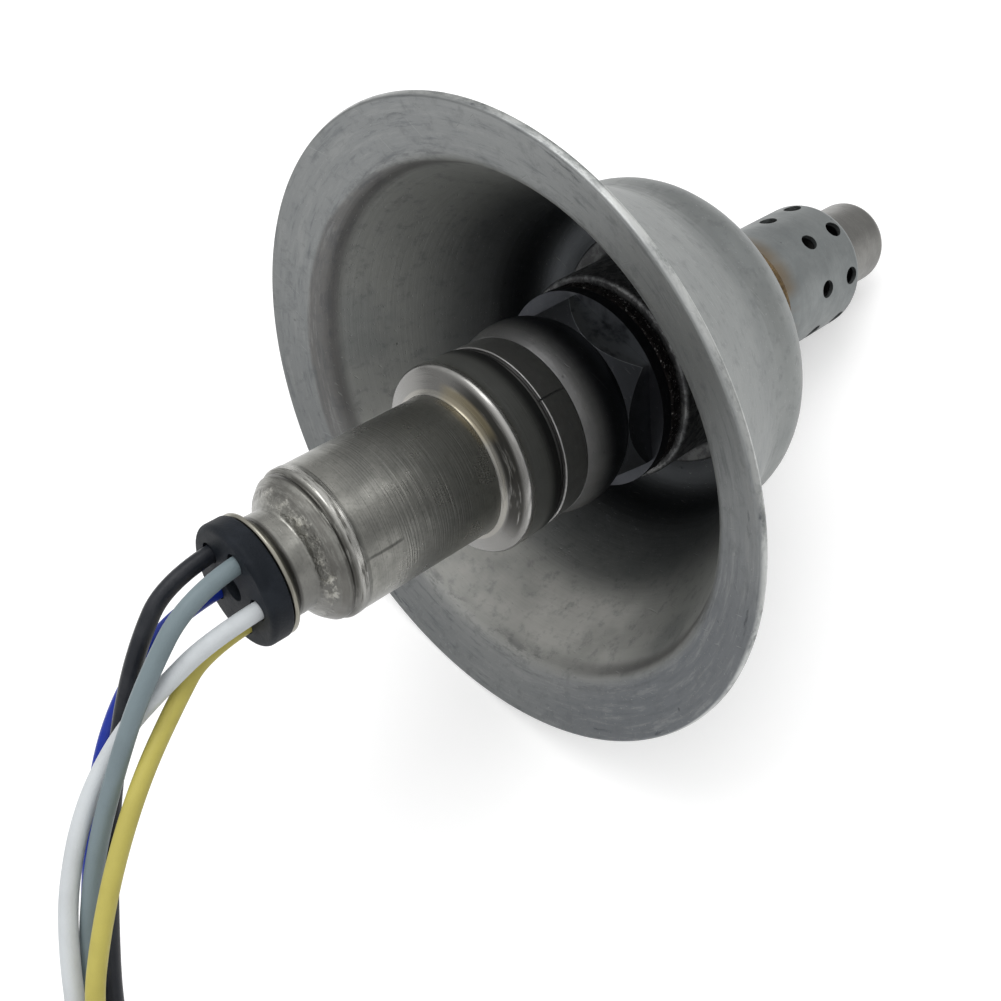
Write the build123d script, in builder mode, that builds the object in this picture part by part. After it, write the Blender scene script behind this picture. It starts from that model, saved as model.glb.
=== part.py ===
from build123d import *
import math
import os

# Wide-band style oxygen sensor screwed into the threaded boss of a pressed bell-shaped shield.
# It lies on its side: the rim of the bell and the tip of the inner tube touch the ground.
# Millimetres, +Z up. A station is a distance along the sensor's axis from the plane of the
# bell's rim, positive towards the wires. The radial angle is counted from the upper side
# of the axis towards +Y.

# Clearances
slide_gap = 0.05
wire_gap = 0.02
seat_gap = 0.1

# Bell-shaped shield, a one-piece pressing
sheet = 1.0
rim_radius = 39.7
rim_round = 0.45
lip_radius = 32.7
lip_station = -3.1
lip_bend = 2.5
cup_radius = 21.9
cup_mouth = -26.8
mouth_bend = 9.0
cup_floor = -35.0
floor_bend = 4.5

# Threaded boss set through the floor of the cup; the thread stands at its mean radius
thread_radius = 8.6
spigot_radius = 9.25
boss_radius = 13.7
boss_top = -22.5
boss_foot_radius = 16.2
boss_foot = 2.0
spigot_end = -50.0
spigot_bore = 7.2
weld_leg = 1.9

# Gasket under the hexagon
gasket_radius = 13.1
gasket_bore = 9.2

# Steel shell of the sensor
collar_radius = 11.1
collar_top = 1.2
collar_end = -7.3
bulge_start = collar_radius + 0.4
bulge_radius = collar_radius + 1.28
waist_radius = collar_radius - 0.1
hex_top = -15.0
hex_apothem = 11.0
hex_end = -18.9
hex_turn = 16.8
flange_radius = 13.0
flange_end = -20.4
relief_radius = 8.0
shell_end = -33.0
recess_radius = 7.0
recess_depth = 1.0
upper_bore = 7.6
lower_bore = 5.4
bore_step = -14.0
lip_bore = 6.0
lip_under = 0.2

# Split ring in the groove between casing and shell
seam_near = -3.5
seam_near_radius = collar_radius + 0.65
seam_far_radius = collar_radius + 0.4
seam_slit = 0.25
seam_turn = -31.6

# Casing around the contacts
casing_sheet = 0.65
barrel_radius = 8.9
neck_radius = 5.9
flare_radius = 7.2
flare_top = 31.0
flare_foot = 29.7
shoulder_top = 28.1
shoulder_foot = 25.6
shoulder_bend = 5.0
crease_station = 3.9
skirt_radius = collar_radius + casing_sheet + 0.25
skirt_top = 2.6
skirt_end_radius = collar_radius + casing_sheet + slide_gap
skirt_end = -2.8

# Rubber grommet and its bores
grommet_radius = 7.15
grommet_seat = 31.5
grommet_face = 34.0
grommet_round = 0.7
grommet_bottom = 21.0
vent_radius = 1.45
wire_radius = 1.0
ferrule_radius = 1.3
ferrule_circle = 3.6
wire_circle = 4.4
wire_start = 30.5
turn_yellow = -156.2
turn_white = -84.2
turn_gray = -12.2
turn_black = 59.8
turn_blue = 131.8
wire_turns = [turn_black, turn_gray, turn_white, turn_yellow, turn_blue]

# Outer tube with holes
tube_radius = 9.06
tube_wall = 0.7
tube_end = -67.2
tube_bend = 1.2
hole_radius = 1.2
near_row = -59.0
far_row = -64.7
hole_count = 8
tint_radius = 9.55

# Inner tube
tip_radius = 6.0
tip_wall = 0.5
tip_end = -78.5
tip_round = 1.2
tip_hole = 1.5
inner_row = -58.0
inner_hole_radius = 0.9

# Ceramic element and what holds it
element_width = 4.2
element_thick = 1.5
element_tip = -62.0
element_top = 13.5
slot_gap = 0.05
talc_bottom = -8.0
talc_top = -3.5
insulator_top = 9.0
insulator_seat = -0.8
insulator_neck = 5.6
holder_radius = 7.9
pocket_radius = 5.0
pocket_top = 16.5
ferrule_bottom = 17.5
spring_radius = 0.3
clip_low = 12.0
clip_high = 18.0
clip_gap = 2.0

# Free lead, its route drawn on a grid of this size
lead_grid = 10.0
sleeve_radius = 3.5
bundle_circle = 1.95
boot_radius = 4.15
boot_over_sleeve = 12.0
boot_over_wires = 6.0
connector_length = 27.0
connector_width = 19.0
connector_height = 13.0
neck_length = 6.0
neck_outer = 6.2
sleeve_depth = 9.0
socket_width = 15.0
socket_height = 9.6
socket_depth = 14.0
blade_width = 1.2
blade_thick = 0.8
blade_pitch = 2.5

# How it lies: the tilt that lets both the rim's edge and the tip's edge touch the ground
lip_slope = math.atan2(-lip_station, rim_radius - lip_radius)
rest_r = rim_radius + sheet * math.sin(lip_slope)
rest_r = rest_r - rim_round * (math.cos(lip_slope) + math.sin(lip_slope))
rest_t = -sheet * math.cos(lip_slope) - rim_round * (math.sin(lip_slope) - math.cos(lip_slope))
tip_r = tip_radius - tip_round
tip_t = tip_end + tip_round
between = math.hypot(rest_r - tip_r, rest_t - tip_t)
tilt = math.atan2(rest_r - tip_r, rest_t - tip_t) + math.asin((rim_round - tip_round) / between)
ca = math.cos(tilt)
sa = math.sin(tilt)
rim_z = rest_r * ca + rim_round - rest_t * sa
reach_left = (grommet_face - grommet_round) * ca + (grommet_radius - grommet_round) * sa
reach_left = reach_left + grommet_round
reach_right = -tip_t * ca + tip_r * sa + tip_round
rim_centre = Vector((reach_left - reach_right) / 2, 0, rim_z)
axis_dir = Vector(-ca, 0, sa)
radial_up = Vector(sa, 0, ca)
across = Vector(0, 1, 0)
sensor_axis = Axis(rim_centre, axis_dir)
profile_plane = Plane(origin=rim_centre, x_dir=radial_up, z_dir=(0, -1, 0))
print("tilt", round(math.degrees(tilt), 2), "rim centre", rim_centre)


def spot(radius, angle, station):
    """Point at a radius, a radial angle in degrees and a station."""
    turn = math.radians(angle)
    out = radial_up * math.cos(turn) + across * math.sin(turn)
    return rim_centre + axis_dir * station + out * radius


def spot_uv(up, side, station):
    """Point at an offset up and sideways from the axis."""
    return rim_centre + axis_dir * station + radial_up * up + across * side


def cross_plane(station):
    """Plane square to the axis, its x direction on the upper side."""
    return Plane(origin=rim_centre + axis_dir * station, x_dir=radial_up, z_dir=axis_dir)


def radial_plane(station, angle):
    """Plane on the axis that faces out at a radial angle."""
    turn = math.radians(angle)
    out = radial_up * math.cos(turn) + across * math.sin(turn)
    return Plane(origin=rim_centre + axis_dir * station, x_dir=axis_dir, z_dir=out)


def bend(before, corner, after, rounding):
    """Start, middle and end of the rounding at a corner between two points."""
    one = (before - corner).normalized()
    two = (after - corner).normalized()
    half = math.acos(max(-1.0, min(1.0, one.dot(two)))) / 2
    cut = rounding / math.tan(half)
    inward = (one + two).normalized()
    middle = corner + inward * (rounding / math.sin(half) - rounding)
    return corner + one * cut, middle, corner + two * cut


def draw_profile(corners):
    """Closed line through (radius, station, rounding) corners."""
    places = [Vector(c[0], c[1]) for c in corners]
    pieces = []
    for i in range(len(corners)):
        if corners[i][2] > 0:
            after = places[(i + 1) % len(corners)]
            pieces.append(bend(places[i - 1], places[i], after, corners[i][2]))
        else:
            pieces.append((places[i], None, places[i]))
    for i in range(len(corners)):
        start, middle, end = pieces[i]
        if middle is not None:
            ThreePointArc(start, middle, end)
        following = pieces[(i + 1) % len(corners)][0]
        if (following - end).length > 0.001:
            Line(end, following)


def shifted(path, distance):
    """Corners of a path moved to its right-hand side, with roundings to match."""
    moved = []
    for i in range(len(path)):
        here = Vector(path[i][0], path[i][1])
        rounding = path[i][2]
        sides = []
        headings = []
        if i > 0:
            headings.append((here - Vector(path[i - 1][0], path[i - 1][1])).normalized())
        if i < len(path) - 1:
            headings.append((Vector(path[i + 1][0], path[i + 1][1]) - here).normalized())
        for heading in headings:
            sides.append(Vector(heading.Y, -heading.X))
        if len(sides) == 1:
            step = sides[0] * distance
        else:
            step = (sides[0] + sides[1]) * (distance / (1 + sides[0].dot(sides[1])))
            turning = headings[0].X * headings[1].Y - headings[0].Y * headings[1].X
            if rounding > 0:
                rounding = rounding + math.copysign(distance, turning)
        moved.append((here.X + step.X, here.Y + step.Y, max(rounding, 0)))
    return moved


def sheet_corners(path, thickness, end_round):
    """Closed corners of a bent sheet whose one face follows the path."""
    near = [tuple(c) for c in path]
    far = shifted(path, thickness)
    for row in (near, far):
        row[0] = (row[0][0], row[0][1], end_round)
        row[-1] = (row[-1][0], row[-1][1], end_round)
    return near + far[::-1]


def draw_route(points, share=0.45):
    """Line of a cord through its points, each corner rounded by a share of its shorter run."""
    last = points[0]
    length = 0.0
    radii = []
    for i in range(1, len(points) - 1):
        one = points[i - 1] - points[i]
        two = points[i + 1] - points[i]
        cut = share * min(one.length, two.length)
        half = math.acos(one.normalized().dot(two.normalized())) / 2
        rounding = cut * math.tan(half)
        start, middle, end = bend(points[i - 1], points[i], points[i + 1], rounding)
        Line(last, start)
        ThreePointArc(start, middle, end)
        length = length + (start - last).length + rounding * (math.pi - 2 * half)
        radii.append(round(rounding, 1))
        last = end
    Line(last, points[-1])
    length = length + (points[-1] - last).length
    print("   length", round(length, 1), "bend radii", radii)
    return length


def start_plane(points):
    """Plane at the first point of a route, facing along it."""
    return Plane(origin=points[0], z_dir=points[1] - points[0])


# Bell-shaped shield: one sheet from the rim over the cup's mouth to the hole in its floor
bell_path = [
    (spigot_radius + slide_gap, cup_floor, 0),
    (cup_radius, cup_floor, floor_bend),
    (cup_radius, cup_mouth, mouth_bend),
    (lip_radius, lip_station, lip_bend),
    (rim_radius, 0, 0),
]
with BuildPart() as bell_shield:
    with BuildSketch(profile_plane):
        with BuildLine():
            draw_profile(sheet_corners(bell_path, sheet, rim_round))
        make_face()
    revolve(axis=sensor_axis)
bell_shield.part.label = "bell_shield"
export_step(bell_shield.part, "parts/bell_shield.step")

# Boss: collar with the thread, foot on the cup's floor and a spigot down to the tube
boss_corners = [
    (thread_radius + slide_gap, boss_top, 0.3),
    (boss_radius, boss_top, 0.5),
    (boss_radius, cup_floor + boss_foot, 0.6),
    (boss_foot_radius, cup_floor + boss_foot, 0.4),
    (boss_foot_radius, cup_floor, 0),
    (spigot_radius, cup_floor, 0),
    (spigot_radius, spigot_end, 0),
    (spigot_bore, spigot_end, 0),
    (spigot_bore, shell_end - recess_depth, 0),
    (thread_radius + slide_gap, shell_end - recess_depth, 0),
]
with BuildPart() as threaded_boss:
    with BuildSketch(profile_plane):
        with BuildLine():
            draw_profile(boss_corners)
        make_face()
    revolve(axis=sensor_axis)
threaded_boss.part.label = "threaded_boss"
export_step(threaded_boss.part, "parts/threaded_boss.step")

# Weld bead under the cup's floor
floor_under = cup_floor - sheet
weld_corners = [
    (spigot_radius, floor_under, 0),
    (spigot_radius + weld_leg, floor_under, 0),
    (spigot_radius + weld_leg * 0.6, floor_under - weld_leg * 0.6, weld_leg * 0.5),
    (spigot_radius, floor_under - weld_leg, 0),
]
with BuildPart() as boss_weld:
    with BuildSketch(profile_plane):
        with BuildLine():
            draw_profile(weld_corners)
        make_face()
    revolve(axis=sensor_axis)
boss_weld.part.label = "boss_weld"
export_step(boss_weld.part, "parts/boss_weld.step")

# Folded sheet gasket, squeezed between the hexagon's flange and the boss
gasket_corners = [
    (gasket_bore, flange_end, 0.4),
    (gasket_radius, flange_end, 0.7),
    (gasket_radius, boss_top, 0.7),
    (gasket_bore, boss_top, 0.4),
]
with BuildPart() as crush_gasket:
    with BuildSketch(profile_plane):
        with BuildLine():
            draw_profile(gasket_corners)
        make_face()
    revolve(axis=sensor_axis)
crush_gasket.part.label = "crush_gasket"
export_step(crush_gasket.part, "parts/crush_gasket.step")

# Shell: collar, bulged body, hexagon, flange and threaded shank, with a stepped bore
hex_corner = hex_apothem / math.cos(math.radians(30))
bore_drop = upper_bore - lower_bore
with BuildPart() as sensor_shell:
    with BuildSketch(profile_plane):
        with BuildLine():
            Polyline((lip_bore, lip_under), (lip_bore, collar_top), (collar_radius - 0.6, collar_top))
            Line((collar_radius - 0.6, collar_top), (collar_radius, collar_top - 0.6))
            Line((collar_radius, collar_top - 0.6), (collar_radius, collar_end))
            Line((collar_radius, collar_end), (bulge_start, collar_end - 0.1))
            ThreePointArc(
                (bulge_start, collar_end - 0.1),
                (bulge_radius, (collar_end + hex_top) / 2),
                (waist_radius, hex_top),
            )
            Line((waist_radius, hex_top), (hex_corner, hex_end + 1.0))
            Line((hex_corner, hex_end + 1.0), (hex_corner, hex_end))
            Line((hex_corner, hex_end), (flange_radius, hex_end))
            Line((flange_radius, hex_end), (flange_radius, flange_end))
            Line((flange_radius, flange_end), (relief_radius, flange_end))
            Line((relief_radius, flange_end), (relief_radius, boss_top))
            Line((relief_radius, boss_top), (thread_radius, boss_top - 0.6))
            Line((thread_radius, boss_top - 0.6), (thread_radius, shell_end + 0.6))
            Line((thread_radius, shell_end + 0.6), (thread_radius - 0.6, shell_end))
            Line((thread_radius - 0.6, shell_end), (recess_radius, shell_end))
            Line((recess_radius, shell_end), (recess_radius, shell_end + recess_depth))
            Line((recess_radius, shell_end + recess_depth), (lower_bore, shell_end + recess_depth))
            Line((lower_bore, shell_end + recess_depth), (lower_bore, bore_step - bore_drop))
            Line((lower_bore, bore_step - bore_drop), (upper_bore, bore_step))
            Line((upper_bore, bore_step), (upper_bore, lip_under))
            Line((upper_bore, lip_under), (lip_bore, lip_under))
        make_face()
    revolve(axis=sensor_axis)
    with BuildSketch(cross_plane(hex_end)):
        Circle(flange_radius + 2)
        RegularPolygon(hex_apothem, 6, major_radius=False, rotation=hex_turn, mode=Mode.SUBTRACT)
    extrude(amount=hex_top - hex_end, mode=Mode.SUBTRACT)
sensor_shell.part.label = "sensor_shell"
export_step(sensor_shell.part, "parts/sensor_shell.step")

# Split ring around the collar
seam_corners = [
    (collar_radius + slide_gap, collar_end, 0),
    (seam_far_radius, collar_end, 0.1),
    (seam_near_radius, seam_near, 0.15),
    (collar_radius + slide_gap, seam_near, 0.15),
]
with BuildPart() as seam_ring:
    with BuildSketch(profile_plane):
        with BuildLine():
            draw_profile(seam_corners)
        make_face()
    revolve(axis=sensor_axis)
    with BuildSketch(radial_plane((seam_near + collar_end) / 2, seam_turn)):
        Rectangle(seam_near - collar_end + 2, seam_slit)
    extrude(amount=seam_near_radius + 2, mode=Mode.SUBTRACT)
seam_ring.part.label = "seam_ring"
export_step(seam_ring.part, "parts/seam_ring.step")

# Casing: flared neck, barrel and skirt from one drawn tube
casing_path = [
    (flare_radius, flare_top, 0),
    (neck_radius, flare_foot, 0.8),
    (neck_radius, shoulder_top, 0.5),
    (barrel_radius, shoulder_foot, shoulder_bend),
    (barrel_radius, crease_station, 0.4),
    (skirt_radius, skirt_top, 0.9),
    (skirt_end_radius, skirt_end, 0),
]
with BuildPart() as casing:
    with BuildSketch(profile_plane):
        with BuildLine():
            draw_profile(sheet_corners(casing_path, casing_sheet, 0.28))
        make_face()
    revolve(axis=sensor_axis)
casing.part.label = "casing"
export_step(casing.part, "parts/casing.step")

# Grommet: body in the casing, stem through its neck and a round head, with bores
inner_face = shifted(casing_path, casing_sheet + slide_gap)
neck_inside = neck_radius - casing_sheet - slide_gap
flare_cone = grommet_seat - (flare_radius - casing_sheet - neck_inside) - seat_gap
grommet_corners = [
    (0, grommet_bottom, 0),
    (barrel_radius - casing_sheet - slide_gap, grommet_bottom, 0.5),
    (inner_face[3][0], inner_face[3][1], inner_face[3][2]),
    (neck_inside, inner_face[2][1], 0),
    (neck_inside, flare_foot + casing_sheet * 0.45, 0),
    (grommet_radius - 0.45, grommet_seat, 0),
    (grommet_radius, grommet_seat, 0.3),
    (grommet_radius, grommet_face, grommet_round),
    (0, grommet_face, 0),
]
with BuildPart() as grommet:
    with BuildSketch(profile_plane):
        with BuildLine():
            draw_profile(grommet_corners)
        make_face()
    revolve(axis=sensor_axis)
    with BuildSketch(cross_plane(grommet_bottom)):
        Circle(vent_radius)
    extrude(amount=grommet_face - grommet_bottom + 1, mode=Mode.SUBTRACT)
    with BuildSketch(cross_plane(grommet_bottom)):
        for turn in wire_turns:
            with PolarLocations(ferrule_circle, 1, start_angle=turn):
                Circle(ferrule_radius + slide_gap)
    extrude(amount=wire_start - grommet_bottom, mode=Mode.SUBTRACT)
    with BuildSketch(cross_plane(wire_start)):
        for turn in wire_turns:
            with PolarLocations(wire_circle, 1, start_angle=turn):
                Circle(wire_radius + wire_gap)
    extrude(amount=grommet_face - wire_start + 1, mode=Mode.SUBTRACT)
grommet.part.label = "grommet"
export_step(grommet.part, "parts/grommet.step")

# Vent filter plug inside the grommet's middle bore
with BuildPart() as vent_filter:
    with BuildSketch(cross_plane(grommet_seat - 2.5)):
        Circle(vent_radius - wire_gap)
    extrude(amount=2.0)
vent_filter.part.label = "vent_filter"
export_step(vent_filter.part, "parts/vent_filter.step")

# Outer tube with two rows of holes and a turned-in end
tube_path = [
    (tube_radius, spigot_end, 0),
    (tube_radius, tube_end, tube_bend),
    (tip_radius + seat_gap, tube_end, 0),
]
with BuildPart() as outer_protector:
    with BuildSketch(profile_plane):
        with BuildLine():
            draw_profile(sheet_corners(tube_path, tube_wall, 0))
        make_face()
    revolve(axis=sensor_axis)
    for station in (near_row, far_row):
        for k in range(hole_count):
            with BuildSketch(radial_plane(station, (k - 0.5) * 360 / hole_count)):
                Circle(hole_radius)
            extrude(amount=tube_radius + 2, mode=Mode.SUBTRACT)
outer_protector.part.label = "outer_protector"
export_step(outer_protector.part, "parts/outer_protector.step")

# Weld around the joint of spigot and outer tube
tint_corners = [
    (spigot_radius, spigot_end + 1.0, 0),
    (tint_radius, spigot_end + 0.7, 0.15),
    (tint_radius, spigot_end + 0.35, 0.2),
    (spigot_radius + 0.03, spigot_end, 0.1),
    (tube_radius, spigot_end - 0.2, 0),
    (tube_radius, spigot_end, 0),
    (spigot_radius, spigot_end, 0),
]
with BuildPart() as tube_weld:
    with BuildSketch(profile_plane):
        with BuildLine():
            draw_profile(tint_corners)
        make_face()
    revolve(axis=sensor_axis)
tube_weld.part.label = "tube_weld"
export_step(tube_weld.part, "parts/tube_weld.step")

# Inner tube: flange in the shell's recess, side holes and an end with one hole
flange_under = shell_end + recess_depth - tip_wall
tip_path = [
    (recess_radius - slide_gap, flange_under, 0),
    (tip_radius, flange_under, 0.3),
    (tip_radius, tip_end, tip_round),
    (tip_hole, tip_end, 0),
]
with BuildPart() as inner_protector:
    with BuildSketch(profile_plane):
        with BuildLine():
            draw_profile(sheet_corners(tip_path, tip_wall, 0))
        make_face()
    revolve(axis=sensor_axis)
    for k in range(hole_count):
        with BuildSketch(radial_plane(inner_row, k * 360 / hole_count)):
            Circle(inner_hole_radius)
        extrude(amount=tip_radius + 1, mode=Mode.SUBTRACT)
inner_protector.part.label = "inner_protector"
export_step(inner_protector.part, "parts/inner_protector.step")

# Flat ceramic element on the axis
with BuildPart() as sensing_element:
    with BuildSketch(cross_plane(element_tip)):
        Rectangle(element_width, element_thick)
    extrude(amount=element_top - element_tip)
sensing_element.part.label = "sensing_element"
export_step(sensing_element.part, "parts/sensing_element.step")

# Ceramic holder on the shell's cone
holder_bottom = shell_end + 3.0
body_radius = upper_bore - slide_gap
stem_radius = lower_bore - slide_gap
holder_corners = [
    (0, talc_bottom, 0),
    (body_radius, talc_bottom, 0.3),
    (body_radius, bore_step, 0),
    (stem_radius, bore_step - bore_drop, 0),
    (stem_radius, holder_bottom, 0.4),
    (0, holder_bottom, 0),
]
with BuildPart() as element_holder:
    with BuildSketch(profile_plane):
        with BuildLine():
            draw_profile(holder_corners)
        make_face()
    revolve(axis=sensor_axis)
    with BuildSketch(cross_plane(holder_bottom)):
        Rectangle(element_width + 2 * slot_gap, element_thick + 2 * slot_gap)
    extrude(amount=talc_bottom - holder_bottom, mode=Mode.SUBTRACT)
element_holder.part.label = "element_holder"
export_step(element_holder.part, "parts/element_holder.step")

# Pressed powder packing around the element
with BuildPart() as talc_packing:
    with BuildSketch(cross_plane(talc_bottom)):
        Circle(body_radius)
        Rectangle(element_width + slot_gap, element_thick + slot_gap, mode=Mode.SUBTRACT)
    extrude(amount=talc_top - talc_bottom)
talc_packing.part.label = "talc_packing"
export_step(talc_packing.part, "parts/talc_packing.step")

# Upper insulator with a neck that carries the contact holder
insulator_corners = [
    (0, talc_top, 0),
    (body_radius, talc_top, 0),
    (body_radius, insulator_seat, 0.3),
    (insulator_neck, insulator_seat, 0),
    (insulator_neck, insulator_top, 0.4),
    (0, insulator_top, 0),
]
with BuildPart() as upper_insulator:
    with BuildSketch(profile_plane):
        with BuildLine():
            draw_profile(insulator_corners)
        make_face()
    revolve(axis=sensor_axis)
    with BuildSketch(cross_plane(talc_top)):
        Rectangle(element_width + 2 * slot_gap, element_thick + 2 * slot_gap)
    extrude(amount=insulator_top - talc_top, mode=Mode.SUBTRACT)
upper_insulator.part.label = "upper_insulator"
export_step(upper_insulator.part, "parts/upper_insulator.step")

# Washer under the crimped lip
with BuildPart() as packing_washer:
    with BuildSketch(cross_plane(insulator_seat)):
        Circle(body_radius)
        Circle(insulator_neck + 4 * slide_gap, mode=Mode.SUBTRACT)
    extrude(amount=lip_under - insulator_seat)
packing_washer.part.label = "packing_washer"
export_step(packing_washer.part, "parts/packing_washer.step")

# Contact holder: slot for the element below, a pocket for the springs, bores for the ferrules
with BuildPart() as contact_holder:
    with BuildSketch(cross_plane(insulator_top)):
        Circle(holder_radius)
    extrude(amount=grommet_bottom - insulator_top)
    with BuildSketch(cross_plane(insulator_top)):
        Rectangle(element_width + 2 * slot_gap, element_thick + 2 * slot_gap)
    extrude(amount=2.0, mode=Mode.SUBTRACT)
    with BuildSketch(cross_plane(insulator_top + 0.8)):
        Circle(pocket_radius)
    extrude(amount=pocket_top - insulator_top - 0.8, mode=Mode.SUBTRACT)
    with BuildSketch(cross_plane(pocket_top)):
        for turn in wire_turns:
            with PolarLocations(ferrule_circle, 1, start_angle=turn):
                Circle(ferrule_radius + slide_gap)
    extrude(amount=grommet_bottom - pocket_top, mode=Mode.SUBTRACT)
contact_holder.part.label = "contact_holder"
export_step(contact_holder.part, "parts/contact_holder.step")

# Split spring sleeve between contact holder and casing
clip_inner = holder_radius + slide_gap
clip_outer = barrel_radius - casing_sheet - slide_gap
with BuildPart() as holder_clip:
    with BuildSketch(cross_plane(clip_low)):
        Circle(clip_outer)
        Circle(clip_inner, mode=Mode.SUBTRACT)
        with Locations((-clip_outer, 0)):
            Rectangle(4, clip_gap, mode=Mode.SUBTRACT)
    extrude(amount=clip_high - clip_low)
holder_clip.part.label = "holder_clip"
export_step(holder_clip.part, "parts/holder_clip.step")

# Ferrules crimped on the wires
with BuildPart() as wire_ferrules:
    with BuildSketch(cross_plane(ferrule_bottom)):
        for turn in wire_turns:
            with PolarLocations(ferrule_circle, 1, start_angle=turn):
                Circle(ferrule_radius)
    extrude(amount=wire_start - ferrule_bottom)
wire_ferrules.part.label = "wire_ferrules"
export_step(wire_ferrules.part, "parts/wire_ferrules.step")

# Contact springs from the ferrules to the element's two faces
pad_side = element_thick / 2 + spring_radius + 0.01
spring_ends = [
    (turn_black, 1.0, pad_side),
    (turn_blue, -1.0, pad_side),
    (turn_yellow, -1.4, -pad_side),
    (turn_white, 0.0, -pad_side),
    (turn_gray, 1.4, -pad_side),
]
with BuildPart() as contact_springs:
    for turn, up, side in spring_ends:
        spring_points = [
            spot(ferrule_circle, turn, ferrule_bottom),
            spot(ferrule_circle, turn, ferrule_bottom - 0.9),
            spot_uv(up, side, element_top + 0.7),
            spot_uv(up, side, insulator_top + 1.5),
        ]
        with BuildLine() as spring_line:
            FilletPolyline(*spring_points, radius=0.6)
        with BuildSketch(start_plane(spring_points)):
            Circle(spring_radius)
        sweep(path=spring_line.line)
contact_springs.part.label = "contact_springs"
export_step(contact_springs.part, "parts/contact_springs.step")

# Routes of the wires: inside the bore, out of the grommet, down beside the bell, gathered at
# the sleeve. The first list of each is counted from the middle of the grommet's face.
face_centre = rim_centre + axis_dir * grommet_face
lie = boot_radius + slide_gap
sleeve_start = Vector(-10.6 * lead_grid, -6.8 * lead_grid, lie)
sleeve_bend = Vector(-10.7 * lead_grid, -9.1 * lead_grid, lie)
sleeve_turn = Vector(-9.3 * lead_grid, -10.95 * lead_grid, lie)
sleeve_rise = Vector(-7.0 * lead_grid, -11.8 * lead_grid, connector_height / 2)
sleeve_end = Vector(-4.6 * lead_grid, -11.8 * lead_grid, connector_height / 2)
sleeve_heading = (sleeve_bend - sleeve_start).normalized()
sleeve_side = Vector(-sleeve_heading.Y, sleeve_heading.X, 0)
gather_points = [
    (Vector(-9.66, -2.08, 3.1) * lead_grid, 1.35),
    (Vector(-10.16, -2.85, 2.42) * lead_grid, 1.3),
    (Vector(-10.53, -4.3, 1.24) * lead_grid, 1.3),
    (sleeve_start - sleeve_heading * (1.3 * lead_grid), 1.15),
    (sleeve_start - sleeve_heading * 0.03, 1.0),
]


def wire_route(turn, hang, bundle_angle):
    """Points of one wire: bore, hanging points, gathering points around the bundle's middle."""
    points = [spot(wire_circle, turn, wire_start), spot(wire_circle, turn, grommet_face + 5)]
    for dx, dy, dz in hang:
        points.append(face_centre + Vector(dx, dy, dz) * lead_grid)
    lean = math.radians(bundle_angle)
    shift = sleeve_side * math.cos(lean) + Vector(0, 0, 1) * math.sin(lean)
    for middle, spread in gather_points:
        points.append(middle + shift * (bundle_circle * spread))
    return points


black_hang = [
    (-1.15, 0.21, 0.09),
    (-1.9, -0.01, -0.46),
    (-2.66, -0.51, -0.86),
    (-3.33, -1.1, -1.23),
    (-3.91, -1.65, -1.6),
]
gray_hang = [
    (-1.34, -0.26, 0.19),
    (-2.09, -0.46, -0.21),
    (-2.81, -0.73, -0.59),
    (-3.47, -1.08, -1.03),
    (-4.06, -1.5, -1.51),
]
white_hang = [
    (-1.23, -0.26, -0.03),
    (-1.88, -0.17, -0.25),
    (-2.59, -0.37, -0.4),
    (-3.26, -0.73, -0.69),
    (-3.71, -1.13, -0.95),
    (-4.1, -1.57, -1.23),
]
yellow_hang = [
    (-1.25, -0.35, -0.28),
    (-1.95, -0.66, -0.32),
    (-2.64, -1.03, -0.45),
    (-3.3, -1.38, -0.73),
    (-3.88, -1.74, -1.05),
]
blue_hang = [
    (-1.21, 0.34, -0.3),
    (-1.72, 0.28, -0.48),
    (-2.29, 0.06, -0.71),
    (-2.89, -0.37, -1),
    (-3.53, -0.88, -1.34),
    (-4.12, -1.42, -1.74),
]
black_route = wire_route(turn_black, black_hang, -21)
gray_route = wire_route(turn_gray, gray_hang, 195)
white_route = wire_route(turn_white, white_hang, 123)
yellow_route = wire_route(turn_yellow, yellow_hang, 51)
blue_route = wire_route(turn_blue, blue_hang, -93)

# Black wire
with BuildPart() as wire_black:
    with BuildLine() as black_line:
        black_length = draw_route(black_route)
    with BuildSketch(start_plane(black_route)):
        Circle(wire_radius)
    sweep(path=black_line.line)
wire_black.part.label = "wire_black"
export_step(wire_black.part, "parts/wire_black.step")

# Gray wire
with BuildPart() as wire_gray:
    with BuildLine() as gray_line:
        gray_length = draw_route(gray_route)
    with BuildSketch(start_plane(gray_route)):
        Circle(wire_radius)
    sweep(path=gray_line.line)
wire_gray.part.label = "wire_gray"
export_step(wire_gray.part, "parts/wire_gray.step")

# White wire
with BuildPart() as wire_white:
    with BuildLine() as white_line:
        white_length = draw_route(white_route)
    with BuildSketch(start_plane(white_route)):
        Circle(wire_radius)
    sweep(path=white_line.line)
wire_white.part.label = "wire_white"
export_step(wire_white.part, "parts/wire_white.step")

# Yellow wire
with BuildPart() as wire_yellow:
    with BuildLine() as yellow_line:
        yellow_length = draw_route(yellow_route)
    with BuildSketch(start_plane(yellow_route)):
        Circle(wire_radius)
    sweep(path=yellow_line.line)
wire_yellow.part.label = "wire_yellow"
export_step(wire_yellow.part, "parts/wire_yellow.step")

# Blue wire
with BuildPart() as wire_blue:
    with BuildLine() as blue_line:
        blue_length = draw_route(blue_route)
    with BuildSketch(start_plane(blue_route)):
        Circle(wire_radius)
    sweep(path=blue_line.line)
wire_blue.part.label = "wire_blue"
export_step(wire_blue.part, "parts/wire_blue.step")

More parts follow.
